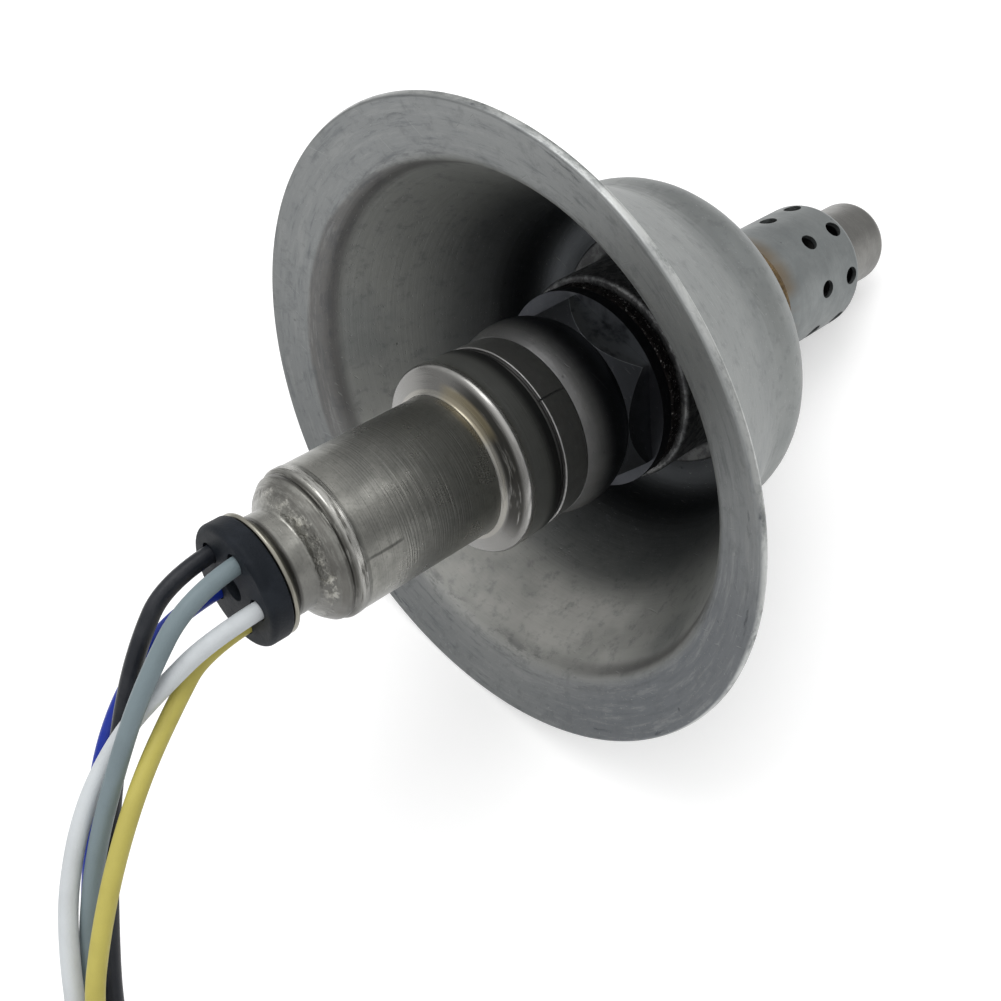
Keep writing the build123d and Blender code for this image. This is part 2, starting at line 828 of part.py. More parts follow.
# Sleeve around the bundle, one solid lead from the boot to the connector
sleeve_route = [sleeve_start, sleeve_bend, sleeve_turn, sleeve_rise, sleeve_end]
with BuildPart() as lead_sleeve:
    with BuildLine() as sleeve_line:
        sleeve_length = draw_route(sleeve_route)
    with BuildSketch(start_plane(sleeve_route)):
        Circle(sleeve_radius)
    sweep(path=sleeve_line.line)
lead_sleeve.part.label = "lead_sleeve"
export_step(lead_sleeve.part, "parts/lead_sleeve.step")

# Shrunk boot over the place where the wires enter the sleeve
boot_plane = Plane(
    origin=sleeve_start - sleeve_heading * boot_over_wires, z_dir=sleeve_heading, x_dir=(0, 0, 1)
)
with BuildPart() as sleeve_boot:
    with BuildSketch(boot_plane):
        Circle(boot_radius)
        Circle(bundle_circle + wire_radius + 3 * slide_gap, mode=Mode.SUBTRACT)
    extrude(amount=boot_over_wires)
    with BuildSketch(boot_plane.offset(boot_over_wires)):
        Circle(boot_radius)
        Circle(sleeve_radius + slide_gap, mode=Mode.SUBTRACT)
    extrude(amount=boot_over_sleeve)
sleeve_boot.part.label = "sleeve_boot"
export_step(sleeve_boot.part, "parts/sleeve_boot.step")

# Connector: a housing with a round neck at the back and a socket at the front
connector_back = sleeve_end.X - sleeve_depth + neck_length
back_plane = Plane(
    origin=(connector_back, sleeve_end.Y, sleeve_end.Z), x_dir=(0, 1, 0), z_dir=(1, 0, 0)
)
chamber_start = sleeve_end.X - connector_back
with BuildPart() as connector_body:
    with BuildSketch(back_plane):
        RectangleRounded(connector_width, connector_height, 1.8)
    extrude(amount=connector_length)
    with BuildSketch(back_plane):
        Circle(neck_outer)
    extrude(amount=-neck_length)
    with BuildSketch(back_plane.offset(-neck_length)):
        Circle(neck_outer - 0.7)
    extrude(amount=neck_length - 1, mode=Mode.SUBTRACT)
    with BuildSketch(back_plane.offset(-neck_length)):
        Circle(sleeve_radius + slide_gap)
    extrude(amount=neck_length + chamber_start, mode=Mode.SUBTRACT)
    with BuildSketch(back_plane.offset(chamber_start)):
        Rectangle(socket_width - 1, socket_height - 2)
    extrude(amount=6.0, mode=Mode.SUBTRACT)
    with BuildSketch(back_plane.offset(connector_length - socket_depth)):
        RectangleRounded(socket_width, socket_height, 1.0)
    extrude(amount=socket_depth, mode=Mode.SUBTRACT)
    with BuildSketch(back_plane.offset(chamber_start)):
        with GridLocations(blade_pitch, 1, 5, 1):
            Rectangle(blade_width + 2 * wire_gap, blade_thick + 2 * wire_gap)
    extrude(amount=connector_length - chamber_start, mode=Mode.SUBTRACT)
connector_body.part.label = "connector_body"
export_step(connector_body.part, "parts/connector_body.step")

# Seal ring in the connector's neck
with BuildPart() as connector_seal:
    with BuildSketch(back_plane.offset(-neck_length)):
        Circle(neck_outer - 0.7 - slide_gap)
        Circle(sleeve_radius + slide_gap, mode=Mode.SUBTRACT)
    extrude(amount=neck_length - 1)
connector_seal.part.label = "connector_seal"
export_step(connector_seal.part, "parts/connector_seal.step")

# Terminal blades through the wall behind the socket
with BuildPart() as connector_terminals:
    with BuildSketch(back_plane.offset(chamber_start + 2)):
        with GridLocations(blade_pitch, 1, 5, 1):
            Rectangle(blade_width, blade_thick)
    extrude(amount=connector_length - chamber_start - 5)
connector_terminals.part.label = "connector_terminals"
export_step(connector_terminals.part, "parts/connector_terminals.step")

# Locking slider on top of the connector
lock_plane = Plane(origin=(connector_back + 5, sleeve_end.Y, connector_height), x_dir=(1, 0, 0))
with BuildPart() as connector_lock:
    with BuildSketch(lock_plane):
        with Locations((8, 0)):
            RectangleRounded(16, 8, 1.0)
    extrude(amount=1.4)
    with BuildSketch(lock_plane.offset(1.4)):
        with Locations((2.2, 0)):
            Rectangle(2.4, 6)
    extrude(amount=0.9)
connector_lock.part.label = "connector_lock"
export_step(connector_lock.part, "parts/connector_lock.step")

for name, solid, length in (
    ("wire_black", wire_black, black_length),
    ("wire_gray", wire_gray, gray_length),
    ("wire_white", wire_white, white_length),
    ("wire_yellow", wire_yellow, yellow_length),
    ("wire_blue", wire_blue, blue_length),
):
    section = math.pi * wire_radius**2
    print(name, "volume over section times length", round(solid.part.volume / section / length, 3))
section = math.pi * sleeve_radius**2
print("lead_sleeve", round(lead_sleeve.part.volume / section / sleeve_length, 3))
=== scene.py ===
# %% [markdown]
# # An oxygen sensor in its bell-shaped shield
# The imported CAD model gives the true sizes. This notebook dresses it: the round metal pieces
# are turned again with fine, smooth outlines, the wires become smooth curves, and every
# surface gets a procedural finish. Each step says what the piece is and why it is made so.

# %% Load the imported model
import bpy
import bmesh
import math
from mathutils import Matrix, Vector, noise


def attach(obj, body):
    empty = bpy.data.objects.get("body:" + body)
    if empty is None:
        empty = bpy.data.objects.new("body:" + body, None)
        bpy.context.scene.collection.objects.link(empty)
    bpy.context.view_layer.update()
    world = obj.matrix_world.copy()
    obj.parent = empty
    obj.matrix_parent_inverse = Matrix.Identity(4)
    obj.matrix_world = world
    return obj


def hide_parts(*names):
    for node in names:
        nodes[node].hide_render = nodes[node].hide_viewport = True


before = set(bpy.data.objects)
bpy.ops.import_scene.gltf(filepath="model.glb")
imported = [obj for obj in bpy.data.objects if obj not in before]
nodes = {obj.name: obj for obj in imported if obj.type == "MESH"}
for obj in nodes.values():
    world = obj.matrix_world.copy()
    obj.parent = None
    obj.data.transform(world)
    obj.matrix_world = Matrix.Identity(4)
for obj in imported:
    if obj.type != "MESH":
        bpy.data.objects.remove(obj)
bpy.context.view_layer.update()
MM = 0.001

# %% [markdown]
# The photograph looks down at the sensor from the side of its wires, quite close by. The lens
# and the small shift put the object where the picture has it, so the frame is set up first
# and every piece can be judged against it.

# %% Camera at the photograph's viewing angle
def new_object(name, data):
    """An object in the scene that carries some data."""
    piece = bpy.data.objects.new(name, data)
    bpy.context.collection.objects.link(piece)
    return piece


camera_data = bpy.data.cameras.new("camera")
camera_data.sensor_width = 36.0
camera_data.lens = 39.5604
camera_data.shift_x = 0.06543
camera_data.shift_y = 0.07742
camera_data.clip_start = 0.01
camera_data.clip_end = 20.0
camera = new_object("camera", camera_data)
camera.location = (-0.051796, -0.067597, 0.143880)
camera.rotation_euler = [math.radians(a) for a in (26.4330, 14.7302, -43.5367)]
bpy.context.scene.camera = camera

# %% [markdown]
# ## Wires and lead
# A wire is a fixed length of something soft: it leaves its bore straight, then arches over and
# falls under its own weight. A NURBS curve with a few control points gives that calm line. The
# points are the route's own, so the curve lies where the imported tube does.

# %% The sensor's own axis
TILT = math.radians(23.862548)
RIM_CENTRE = Vector((-0.0200357, 0.0, 0.0368609))
ALONG = Vector((-math.cos(TILT), 0.0, math.sin(TILT)))
UPPER = Vector((math.sin(TILT), 0.0, math.cos(TILT)))
ACROSS = Vector((0.0, 1.0, 0.0))


def spot(radius, angle, station):
    """Point in metres at a radius and a station in mm and an angle in degrees round the axis."""
    turn = math.radians(angle)
    out = UPPER * math.cos(turn) + ACROSS * math.sin(turn)
    return RIM_CENTRE + ALONG * (station * MM) + out * (radius * MM)


# %% Routes of the wires
WIRE_TURN = {"black": 59.8, "gray": -12.2, "white": -84.2, "yellow": -156.2, "blue": 131.8}
BUNDLE_TURN = {"black": -21, "gray": 195, "white": 123, "yellow": 51, "blue": -93}
WIRE_RADIUS, WIRE_RING, BUNDLE_RING = 1.0, 4.4, 1.95
BORE_START, GROMMET_FACE, STRAIGHT_END = 30.5, 34.0, 39.0
FACE_CENTRE = spot(0, 0, GROMMET_FACE)
HANG = {
    "black": [(-11.5, 2.1, 0.9), (-19.0, -0.1, -4.6), (-26.6, -5.1, -8.6), (-33.3, -11.0, -12.3),
              (-39.1, -16.5, -16.0)],
    "gray": [(-13.4, -2.6, 1.9), (-20.9, -4.6, -2.1), (-28.1, -7.3, -5.9), (-34.7, -10.8, -10.3),
             (-40.6, -15.0, -15.1)],
    "white": [(-12.3, -2.6, -0.3), (-18.8, -1.7, -2.5), (-25.9, -3.7, -4.0), (-32.6, -7.3, -6.9),
              (-37.1, -11.3, -9.5), (-41.0, -15.7, -12.3)],
    "yellow": [(-12.5, -3.5, -2.8), (-19.5, -6.6, -3.2), (-26.4, -10.3, -4.5), (-33.0, -13.8, -7.3),
               (-38.8, -17.4, -10.5)],
    "blue": [(-12.1, 3.4, -3.0), (-17.2, 2.8, -4.8), (-22.9, 0.6, -7.1), (-28.9, -3.7, -10.0),
             (-35.3, -8.8, -13.4), (-41.2, -14.2, -17.4)],
}
SLEEVE = [Vector(p) * MM for p in ((-106, -68, 4.2), (-107, -91, 4.2), (-93, -109.5, 4.2),
                                  (-70, -118, 6.5), (-46, -118, 6.5))]
HEADING = (SLEEVE[1] - SLEEVE[0]).normalized()
BESIDE = Vector((-HEADING.y, HEADING.x, 0))
GATHER = [(Vector((-96.6, -20.8, 31.0)) * MM, 1.35), (Vector((-101.6, -28.5, 24.2)) * MM, 1.3),
          (Vector((-105.3, -43.0, 12.4)) * MM, 1.3), (SLEEVE[0] - HEADING * 13 * MM, 1.15),
          (SLEEVE[0] - HEADING * 0.03 * MM, 1.0)]


def wire_route(colour):
    """Control points of one wire, from its bore to the sleeve."""
    points = [spot(WIRE_RING, WIRE_TURN[colour], station) for station in (BORE_START, STRAIGHT_END)]
    points += [FACE_CENTRE + Vector(step) * MM for step in HANG[colour]]
    lean = math.radians(BUNDLE_TURN[colour])
    shift = BESIDE * math.cos(lean) + Vector((0, 0, 1)) * math.sin(lean)
    points += [middle + shift * (BUNDLE_RING * MM * spread) for middle, spread in GATHER]
    return points


# %% Smooth curves through the routes
def lay_curve(name, points, radius):
    """A round cord as one NURBS spline with the route's points as its control points. The bevel
    is one metre and the points' radius thins it, so that the curve's box is as slim as the cord."""
    data = bpy.data.curves.new(name, "CURVE")
    data.dimensions = "3D"
    data.bevel_depth = 1.0 if radius else 0.0
    data.bevel_resolution = 6
    data.resolution_u = 14
    data.use_fill_caps = True
    spline = data.splines.new("NURBS")
    spline.points.add(len(points) - 1)
    for i, p in enumerate(points):
        spline.points[i].co = (p.x, p.y, p.z, 1)
        spline.points[i].radius = radius
    spline.order_u = 3
    spline.use_endpoint_u = True
    return new_object(name, data)


def curve_line(points):
    """The smooth line that the control points give, as points in metres."""
    probe = lay_curve("probe", points, 0.0)
    line = bpy.data.meshes.new_from_object(probe.evaluated_get(bpy.context.evaluated_depsgraph_get()))
    bpy.data.objects.remove(probe)
    return [v.co.copy() for v in line.vertices]


def line_length(line):
    """Length of a line of points."""
    return sum((line[i + 1] - line[i]).length for i in range(len(line) - 1))


cords = {}
for colour in WIRE_TURN:
    route = wire_route(colour)
    piece = lay_curve("lead_" + colour, route, WIRE_RADIUS * MM)
    length = line_length(curve_line(route))
    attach(piece, "root")
    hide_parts("wire_" + colour)
    cords[colour] = piece
    print(colour, "wire", round(length * 1000, 1), "mm")

# %% [markdown]
# A node tree is easier to read when each node is added together with what feeds it. These
# helpers do that for geometry trees and materials alike.

# %% Adding nodes
def feed(socket, value):
    """Link an output to a socket, or set the socket's own value."""
    if isinstance(value, bpy.types.Node):
        value = value.outputs[0]
    if isinstance(value, bpy.types.NodeSocket):
        socket.id_data.links.new(value, socket)
    elif value is not None:
        socket.default_value = value


def put(tree, kind, *by_place, **by_name):
    """Add a node. Names in lower case are its settings, the others feed the inputs so named."""
    node = tree.nodes.new(kind)
    for key in [k for k in by_name if k[0].islower()]:
        setattr(node, key, by_name.pop(key))
    for place, value in enumerate(by_place):
        feed(node.inputs[place], value)
    for key, value in by_name.items():
        feed(node.inputs[key.replace("_", " ")], value)
    return node


def tree_of(values):
    """The tree that the first output or node among some values belongs to."""
    return next(v.id_data for v in values if isinstance(v, (bpy.types.Node, bpy.types.NodeSocket)))


def maths(operation, *values):
    """One Math node's result, in the tree that its values come from."""
    return put(tree_of(values), "ShaderNodeMath", *values, operation=operation).outputs[0]


def times(*values):
    """Product of masks and plain numbers."""
    product = values[0]
    for value in values[1:]:
        product = maths("MULTIPLY", product, value)
    return product


def ramp(value, low, high):
    """A soft mask: 0 where the value is low, 1 where it is high."""
    step = put(value.id_data, "ShaderNodeMapRange", value, low, high, interpolation_type="SMOOTHSTEP")
    return step.outputs[0]


def between(value, low, high, soft):
    """A soft mask of the stretch between two values."""
    return times(ramp(value, low - soft, low + soft), ramp(value, high + soft, high - soft))


def scaled(value, low, high, first, last):
    """A value from low to high, changed evenly to one from first to last."""
    return put(value.id_data, "ShaderNodeMapRange", value, low, high, first, last).outputs[0]


def vector(operation, *values, **by_name):
    """One Vector Math node."""
    return put(tree_of(values), "ShaderNodeVectorMath", *values, operation=operation, **by_name)


def parts(value):
    """X, Y and Z of a vector."""
    return put(tree_of([value]), "ShaderNodeSeparateXYZ", value).outputs


def joined(*values):
    """A vector from up to three values."""
    return put(tree_of(values), "ShaderNodeCombineXYZ", *values).outputs[0]


def towards(ring, x, y):
    """How far a direction round the axis points towards (x, y): 1 there, -1 opposite."""
    return vector("DOT_PRODUCT", ring, (x, y, 0.0)).outputs["Value"]


def grain(place, scale, detail, roughness=0.5, seed=None):
    """Noise from 0 to 1 at a place, with a seed where it has one."""
    node = put(place.id_data, "ShaderNodeTexNoise", Vector=place, Scale=scale, Detail=detail,
               Roughness=roughness)
    if seed is not None:
        node.noise_dimensions = "4D"
        feed(node.inputs["W"], seed)
    return node.outputs[0]


def round_grain(ring, steps, run, pace, detail, roughness):
    """Noise drawn out round the axis: steps for a turn's radius, and a pace for each mm across."""
    turn = parts(ring)
    place = joined(times(turn[0], steps), times(turn[1], steps), times(run, pace))
    return grain(place, 1.0, detail, roughness)


def blend(factor, first, second):
    """Mix of two colours."""
    node = put(factor.id_data, "ShaderNodeMix", factor, data_type="RGBA")
    for place, colour in ((6, first), (7, second)):
        feed(node.inputs[place], (*colour, 1) if isinstance(colour, tuple) else colour)
    return node.outputs[2]


# %% [markdown]
# ## Shared surface effects
# Marks on a turned piece follow its axis: tool lines run round it and heat tints lie at a
# distance along it. The first shader group gives each point's radius and station, and its
# direction round the axis, in millimetres. Every steel below uses it.

# %% Shader group: place round the axis
def shader_group(name, inputs, outputs):
    """A shader group with sockets given as (name, kind, value) and (name, kind)."""
    tree = bpy.data.node_groups.new(name, "ShaderNodeTree")
    for label, kind, value in inputs:
        socket = tree.interface.new_socket(label, in_out="INPUT", socket_type="NodeSocket" + kind)
        socket.default_value = value
    for label, kind in outputs:
        tree.interface.new_socket(label, in_out="OUTPUT", socket_type="NodeSocket" + kind)
    return tree, tree.nodes.new("NodeGroupInput").outputs, tree.nodes.new("NodeGroupOutput").inputs


axis_group, given, result = shader_group("place round the axis", [], [
    ("Place", "Vector"), ("Ring", "Vector"), ("Radius", "Float"), ("Station", "Float")])
here = put(axis_group, "ShaderNodeTexCoord").outputs["Object"]
offset = vector("SCALE", vector("SUBTRACT", here, tuple(RIM_CENTRE)), Scale=1000.0)
up, side, along = [vector("DOT_PRODUCT", offset, tuple(direction)).outputs["Value"]
                   for direction in (UPPER, ACROSS, ALONG)]
flat = joined(up, side, 0.0)
feed(result["Place"], joined(up, side, along))
feed(result["Ring"], vector("NORMALIZE", flat))
feed(result["Radius"], vector("LENGTH", flat).outputs["Value"])
feed(result["Station"], along)
print("group", axis_group.name)

# %% [markdown]
# Used steel is never even. It has soft clouds where a film of dirt or heat has dulled it, fine
# lines round the axis from the lathe or the press, and short scratches in all directions. One
# group gives these as masks, and each material decides what colour and gloss they mean.

# %% Shader group: worn steel
wear_group, given, result = shader_group("worn steel", [
    ("Place", "Vector", (0, 0, 0)), ("Ring", "Vector", (1, 0, 0)), ("Run", "Float", 0.0),
    ("Cloud Size", "Float", 6.0), ("Lines", "Float", 4.0), ("Seed", "Float", 0.0)], [
    ("Cloud", "Float"), ("Line", "Float"), ("Scratch", "Float"), ("Pit", "Float"), ("Height", "Float")])
place, seed = given["Place"], given["Seed"]
cloud = ramp(grain(place, maths("DIVIDE", 1.0, given["Cloud Size"]), 5.0, 0.62, seed), 0.32, 0.68)
turn = parts(given["Ring"])
line = joined(turn[0], turn[1], times(given["Run"], given["Lines"]))
line = grain(line, 1.0, 3.0, 0.55, seed)
scratch = None
for turn, stretch in (((0.4, 0.2, 0.9), 0.1225), ((1.2, 0.9, 0.1), 0.175), ((0.1, 1.3, 2.1), 0.14)):
    turned = put(wear_group, "ShaderNodeVectorRotate", place, rotation_type="EULER_XYZ", Rotation=turn)
    streak = ramp(grain(vector("MULTIPLY", turned, (stretch, 5.0, 5.0)), 0.7, 1.0, 0.4, seed), 0.70, 0.76)
    scratch = streak if scratch is None else maths("MAXIMUM", scratch, streak)
cells = put(wear_group, "ShaderNodeTexVoronoi", voronoi_dimensions="4D", Vector=place, W=seed, Scale=0.55)
chosen = ramp(put(wear_group, "ShaderNodeSeparateColor", cells.outputs["Color"]), 0.72, 0.80)
pit = times(ramp(cells.outputs["Distance"], 0.16, 0.05), chosen)
height = maths("ADD", times(line, 0.5), times(cloud, 0.6))
height = maths("SUBTRACT", height, times(scratch, 0.4))
height = maths("SUBTRACT", height, times(pit, 0.6))
for place, value in enumerate((cloud, line, scratch, pit, height)):
    feed(result[place], value)
print("group", wear_group.name, "has", len(wear_group.nodes), "nodes")

# %% [markdown]
# Rubber and plastic collect small specks of dust and grease, and the skin of a cable is very
# slightly uneven. A second group gives these two, for the grommet, the wires and the plug.

# %% Shader group: specks on plastic
speck_group, given, result = shader_group("specks on plastic", [
    ("Speck Size", "Float", 1.0), ("Share", "Float", 0.2), ("Seed", "Float", 0.0)], [
    ("Speck", "Float"), ("Smear", "Float"), ("Height", "Float")])
here = vector("SCALE", put(speck_group, "ShaderNodeTexCoord").outputs["Object"], Scale=1000.0).outputs[0]
cells = put(speck_group, "ShaderNodeTexVoronoi", voronoi_dimensions="4D", Vector=here, W=given["Seed"],
            Scale=maths("DIVIDE", 0.5, given["Speck Size"]))
chosen = put(speck_group, "ShaderNodeSeparateColor", cells.outputs["Color"]).outputs[0]
chosen = maths("GREATER_THAN", chosen, maths("SUBTRACT", 1.0, given["Share"]))
smear = grain(here, 0.22, 4.0, 0.6, given["Seed"])
feed(result["Speck"], times(ramp(cells.outputs["Distance"], 0.14, 0.06), chosen))
feed(result["Smear"], ramp(smear, 0.42, 0.66))
feed(result["Height"], maths("ADD", grain(here, 5.0, 2.0), times(smear, 2.0)))
print("group", speck_group.name)


# %% [markdown]
# A material starts from one of two recipes. The steel recipe mixes a clean and a dull tone by
# the clouds and lines, and returns its masks, so that a piece can add its own marks.

# %% Recipes for steel and plastic
class Recipe:
    """A material on its way: its tree and shader, its masks, and the colour and gloss so far."""

    def __init__(self, name):
        self.material = bpy.data.materials.new(name)
        self.material.use_nodes = True
        self.tree = self.material.node_tree
        self.shader = self.tree.nodes["Principled BSDF"]

    def mark(self, colour, roughness, *masks):
        """Lay a colour and a roughness over what is there, by a product of masks and numbers."""
        mask = times(*masks)
        self.colour = blend(mask, self.colour, colour)
        keep = maths("SUBTRACT", 1.0, mask)
        self.roughness = maths("ADD", times(keep, self.roughness), times(mask, roughness))

    def done(self, depth, height=None):
        """Connect colour, gloss and relief, and give the material back. Depth is in mm."""
        height = self.wear["Height"] if height is None else height
        relief = put(self.tree, "ShaderNodeBump", Strength=1.0, Distance=depth * MM, Height=height)
        for label, value in (("Base Color", self.colour), ("Roughness", self.roughness), ("Normal", relief)):
            feed(self.shader.inputs[label], value)
        return self.material


def steel(name, clean, dull, smooth, rough, cloud_size=6.0, lines=4.0, seed=0.0):
    """A used steel: clean and smooth in places, dull and rougher in others."""
    recipe = Recipe(name)
    at = put(recipe.tree, "ShaderNodeGroup", node_tree=axis_group).outputs
    recipe.place, recipe.ring, recipe.radius, recipe.station = at[:4]
    run = maths("ADD", recipe.radius, recipe.station)
    recipe.wear = put(recipe.tree, "ShaderNodeGroup", node_tree=wear_group, Place=recipe.place,
                      Ring=recipe.ring, Run=run, Cloud_Size=cloud_size, Lines=lines, Seed=seed).outputs
    tone = maths("ADD", times(recipe.wear["Cloud"], 0.65), times(recipe.wear["Line"], 0.35))
    recipe.colour = blend(tone, dull, clean)
    recipe.roughness = scaled(tone, 0.0, 1.0, rough, smooth)
    recipe.shader.inputs["Metallic"].default_value = 1.0
    return recipe


def plastic(name, colour, speck, roughness, size=1.0, share=0.2, seed=0.0, smear=0.12, shine=0.5):
    """Rubber, plastic or ceramic with specks and a faint smear."""
    recipe = Recipe(name)
    recipe.shader.inputs["Specular IOR Level"].default_value = shine
    recipe.wear = put(recipe.tree, "ShaderNodeGroup", node_tree=speck_group, Speck_Size=size, Share=share,
                      Seed=seed).outputs
    recipe.colour = blend(times(recipe.wear["Smear"], smear), colour, speck)
    recipe.roughness = scaled(recipe.wear["Smear"], 0.0, 1.0, roughness, min(1.0, roughness + 0.15))
    recipe.mark(speck, roughness + 0.2, recipe.wear["Speck"], 0.8)
    return recipe


def coat(piece, material):
    """Give a piece one material on all its faces."""
    piece.data.materials.clear()
    piece.data.materials.append(material)


def dress(name, material):
    """Give a piece that stays as the CAD model has it its finish."""
    for place in nodes[name].material_slots:
        place.material = material


# %% [markdown]
# The wires are extruded silicone or plastic, satin, with a few specks of dirt. All five come
# from one recipe with their own colours.

# %% Wire insulation
INSULATION = {
    "black": ((0.010, 0.012, 0.017), (0.16, 0.16, 0.17), 0.36),
    "gray": ((0.185, 0.235, 0.255), (0.05, 0.06, 0.06), 0.42),
    "white": ((0.60, 0.63, 0.65), (0.10, 0.10, 0.11), 0.42),
    "yellow": ((0.50, 0.44, 0.105), (0.16, 0.12, 0.04), 0.42),
    "blue": ((0.002, 0.022, 0.30), (0.16, 0.18, 0.26), 0.38),
}
for index, (colour, look) in enumerate(INSULATION.items()):
    skin = plastic(colour + " insulation", *look, size=1.2, share=0.10, seed=index * 3.7, smear=0.10,
                   shine=0.3)
    coat(cords[colour], skin.done(0.03))
print("insulation on", len(cords), "wires")

# %% [markdown]
# ## Round metal pieces
# Most of the sensor is round: the bell was pressed over a tool, the casing was drawn from a tube
# and the other rings were turned. Each could be carved from primitives, but a maker would draw
# one closed outline, as radius against station along the axis, and sweep it round. The same is
# done here: an outline as a loop of edges, and one Geometry Nodes tree that sweeps any outline.

# %% Closed outline with rounded corners
ARC_STEP = math.radians(9)
SUPPORT = 0.2


def fillet(before, corner, after, rounding):
    """Points in mm along the rounding of one corner."""
    one = (before - corner).normalized()
    two = (after - corner).normalized()
    half = math.acos(max(-1.0, min(1.0, one.dot(two)))) / 2
    centre = corner + (one + two).normalized() * (rounding / math.sin(half))
    start = corner + one * (rounding / math.tan(half)) - centre
    end = corner + two * (rounding / math.tan(half)) - centre
    turn = math.atan2(start.x * end.y - start.y * end.x, start.dot(end))
    steps = max(2, round(abs(turn) / ARC_STEP))
    points = []
    for k in range(steps + 1):
        a = turn * k / steps
        points.append(centre + Vector((start.x * math.cos(a) - start.y * math.sin(a),
                                       start.x * math.sin(a) + start.y * math.cos(a))))
    return points


def outline(corners, longest=100.0):
    """Closed outline through (radius, station, rounding) corners, with a point near each end of
    a straight run, so that smooth shading stays flat there."""
    places = [Vector(c[:2]) for c in corners]
    rough = []
    for i, c in enumerate(corners):
        if c[2] > 0:
            rough += fillet(places[i - 1], places[i], places[(i + 1) % len(places)], c[2])
        else:
            rough.append(places[i])
    points = []
    for i, here in enumerate(rough):
        there = rough[(i + 1) % len(rough)]
        run = (there - here).length
        if run < 1e-4:
            continue
        points.append(here)
        if run > 5 * SUPPORT:
            inner = max(1, math.ceil((run - 2 * SUPPORT) / longest))
            for k in range(inner + 1):
                points.append(here.lerp(there, (SUPPORT + (run - 2 * SUPPORT) * k / inner) / run))
    return points


# %% [markdown]
# Sheet pieces have the same thickness all along, so only one face of the sheet is drawn. The
# other face is the same path, moved sideways, with each bend's radius changed by the thickness.

# %% Outline of a bent sheet
def beside(path, distance):
    """The corners of a path, moved to its right-hand side."""
    moved = []
    for i, (x, y, rounding) in enumerate(path):
        here = Vector((x, y))
        headings = []
        if i > 0:
            headings.append((here - Vector(path[i - 1][:2])).normalized())
        if i < len(path) - 1:
            headings.append((Vector(path[i + 1][:2]) - here).normalized())
        sides = [Vector((h.y, -h.x)) for h in headings]
        if len(sides) == 1:
            step = sides[0] * distance
        else:
            step = (sides[0] + sides[1]) * (distance / (1 + sides[0].dot(sides[1])))
            turning = headings[0].x * headings[1].y - headings[0].y * headings[1].x
            if rounding > 0:
                rounding += math.copysign(distance, turning)
        moved.append((here.x + step.x, here.y + step.y, max(rounding, 0)))
    return moved


def sheet(path, thickness, end_round):
    """Corners of a bent sheet whose one face follows the path."""
    near, far = list(path), beside(path, thickness)
    for row in (near, far):
        row[0] = (row[0][0], row[0][1], end_round)
        row[-1] = (row[-1][0], row[-1][1], end_round)
    return near + far[::-1]


# %% Starting and ending a geometry tree
WELD_REACH = 0.000002


def geometry_tree(name, sockets):
    """A geometry tree and what it is given, with its input sockets as (name, kind, value)."""
    tree = bpy.data.node_groups.new(name, "GeometryNodeTree")
    tree.interface.new_socket("Geometry", in_out="INPUT", socket_type="NodeSocketGeometry")
    for label, kind, value in sockets + [("Finish", "Material", None)]:
        socket = tree.interface.new_socket(label, in_out="INPUT", socket_type="NodeSocket" + kind)
        if value is not None:
            socket.default_value = value
    tree.interface.new_socket("Geometry", in_out="OUTPUT", socket_type="NodeSocketGeometry")
    return tree, tree.nodes.new("NodeGroupInput").outputs


def finish_tree(tree, shape, given):
    """End a geometry tree in Realize Instances and Set Material."""
    real = put(tree, "GeometryNodeRealizeInstances", shape)
    coated = put(tree, "GeometryNodeSetMaterial", real, Material=given["Finish"])
    put(tree, "NodeGroupOutput", coated)
    print("tree", tree.name, "has", len(tree.nodes), "nodes")


def take_away(tree, given, tools):
    """End a geometry tree in a cut: the tools are taken from the piece that the tree is given."""
    solid_tools = put(tree, "GeometryNodeRealizeInstances", tools)
    cut = put(tree, "GeometryNodeMeshBoolean", operation="DIFFERENCE", solver="EXACT")
    feed(cut.inputs["Mesh 1"], given["Geometry"])
    feed(cut.inputs["Mesh 2"], solid_tools)
    finish_tree(tree, cut.outputs["Mesh"], given)


# %% [markdown]
# The first tree sweeps an outline round the axis. Curve to Mesh carries a profile along a circle
# and keeps its size, so the circle has a radius of one metre and the profile is moved in by one
# metre: each point then lands at its true radius.

# %% Tree: sweep round the axis
sweep_tree, given = geometry_tree("sweep round the axis", [("Steps", "Int", 128)])
line = put(sweep_tree, "GeometryNodeMeshToCurve", given["Geometry"])
place = parts(put(sweep_tree, "GeometryNodeInputPosition"))
moved = joined(maths("SUBTRACT", place["X"], 1.0), times(place["Y"], -1.0))
profile = put(sweep_tree, "GeometryNodeSetPosition", line, Position=moved)
circle = put(sweep_tree, "GeometryNodeCurvePrimitiveCircle", Resolution=given["Steps"], Radius=1.0)
swept = put(sweep_tree, "GeometryNodeCurveToMesh", circle, profile)
closed = put(sweep_tree, "GeometryNodeMergeByDistance", swept, Distance=WELD_REACH)
finish_tree(sweep_tree, closed, given)

# %% [markdown]
# The second tree punches a row of round holes through a tube's wall, as a punch does from
# outside: a pin on each point of a ring, pointing outwards, taken from the tube.

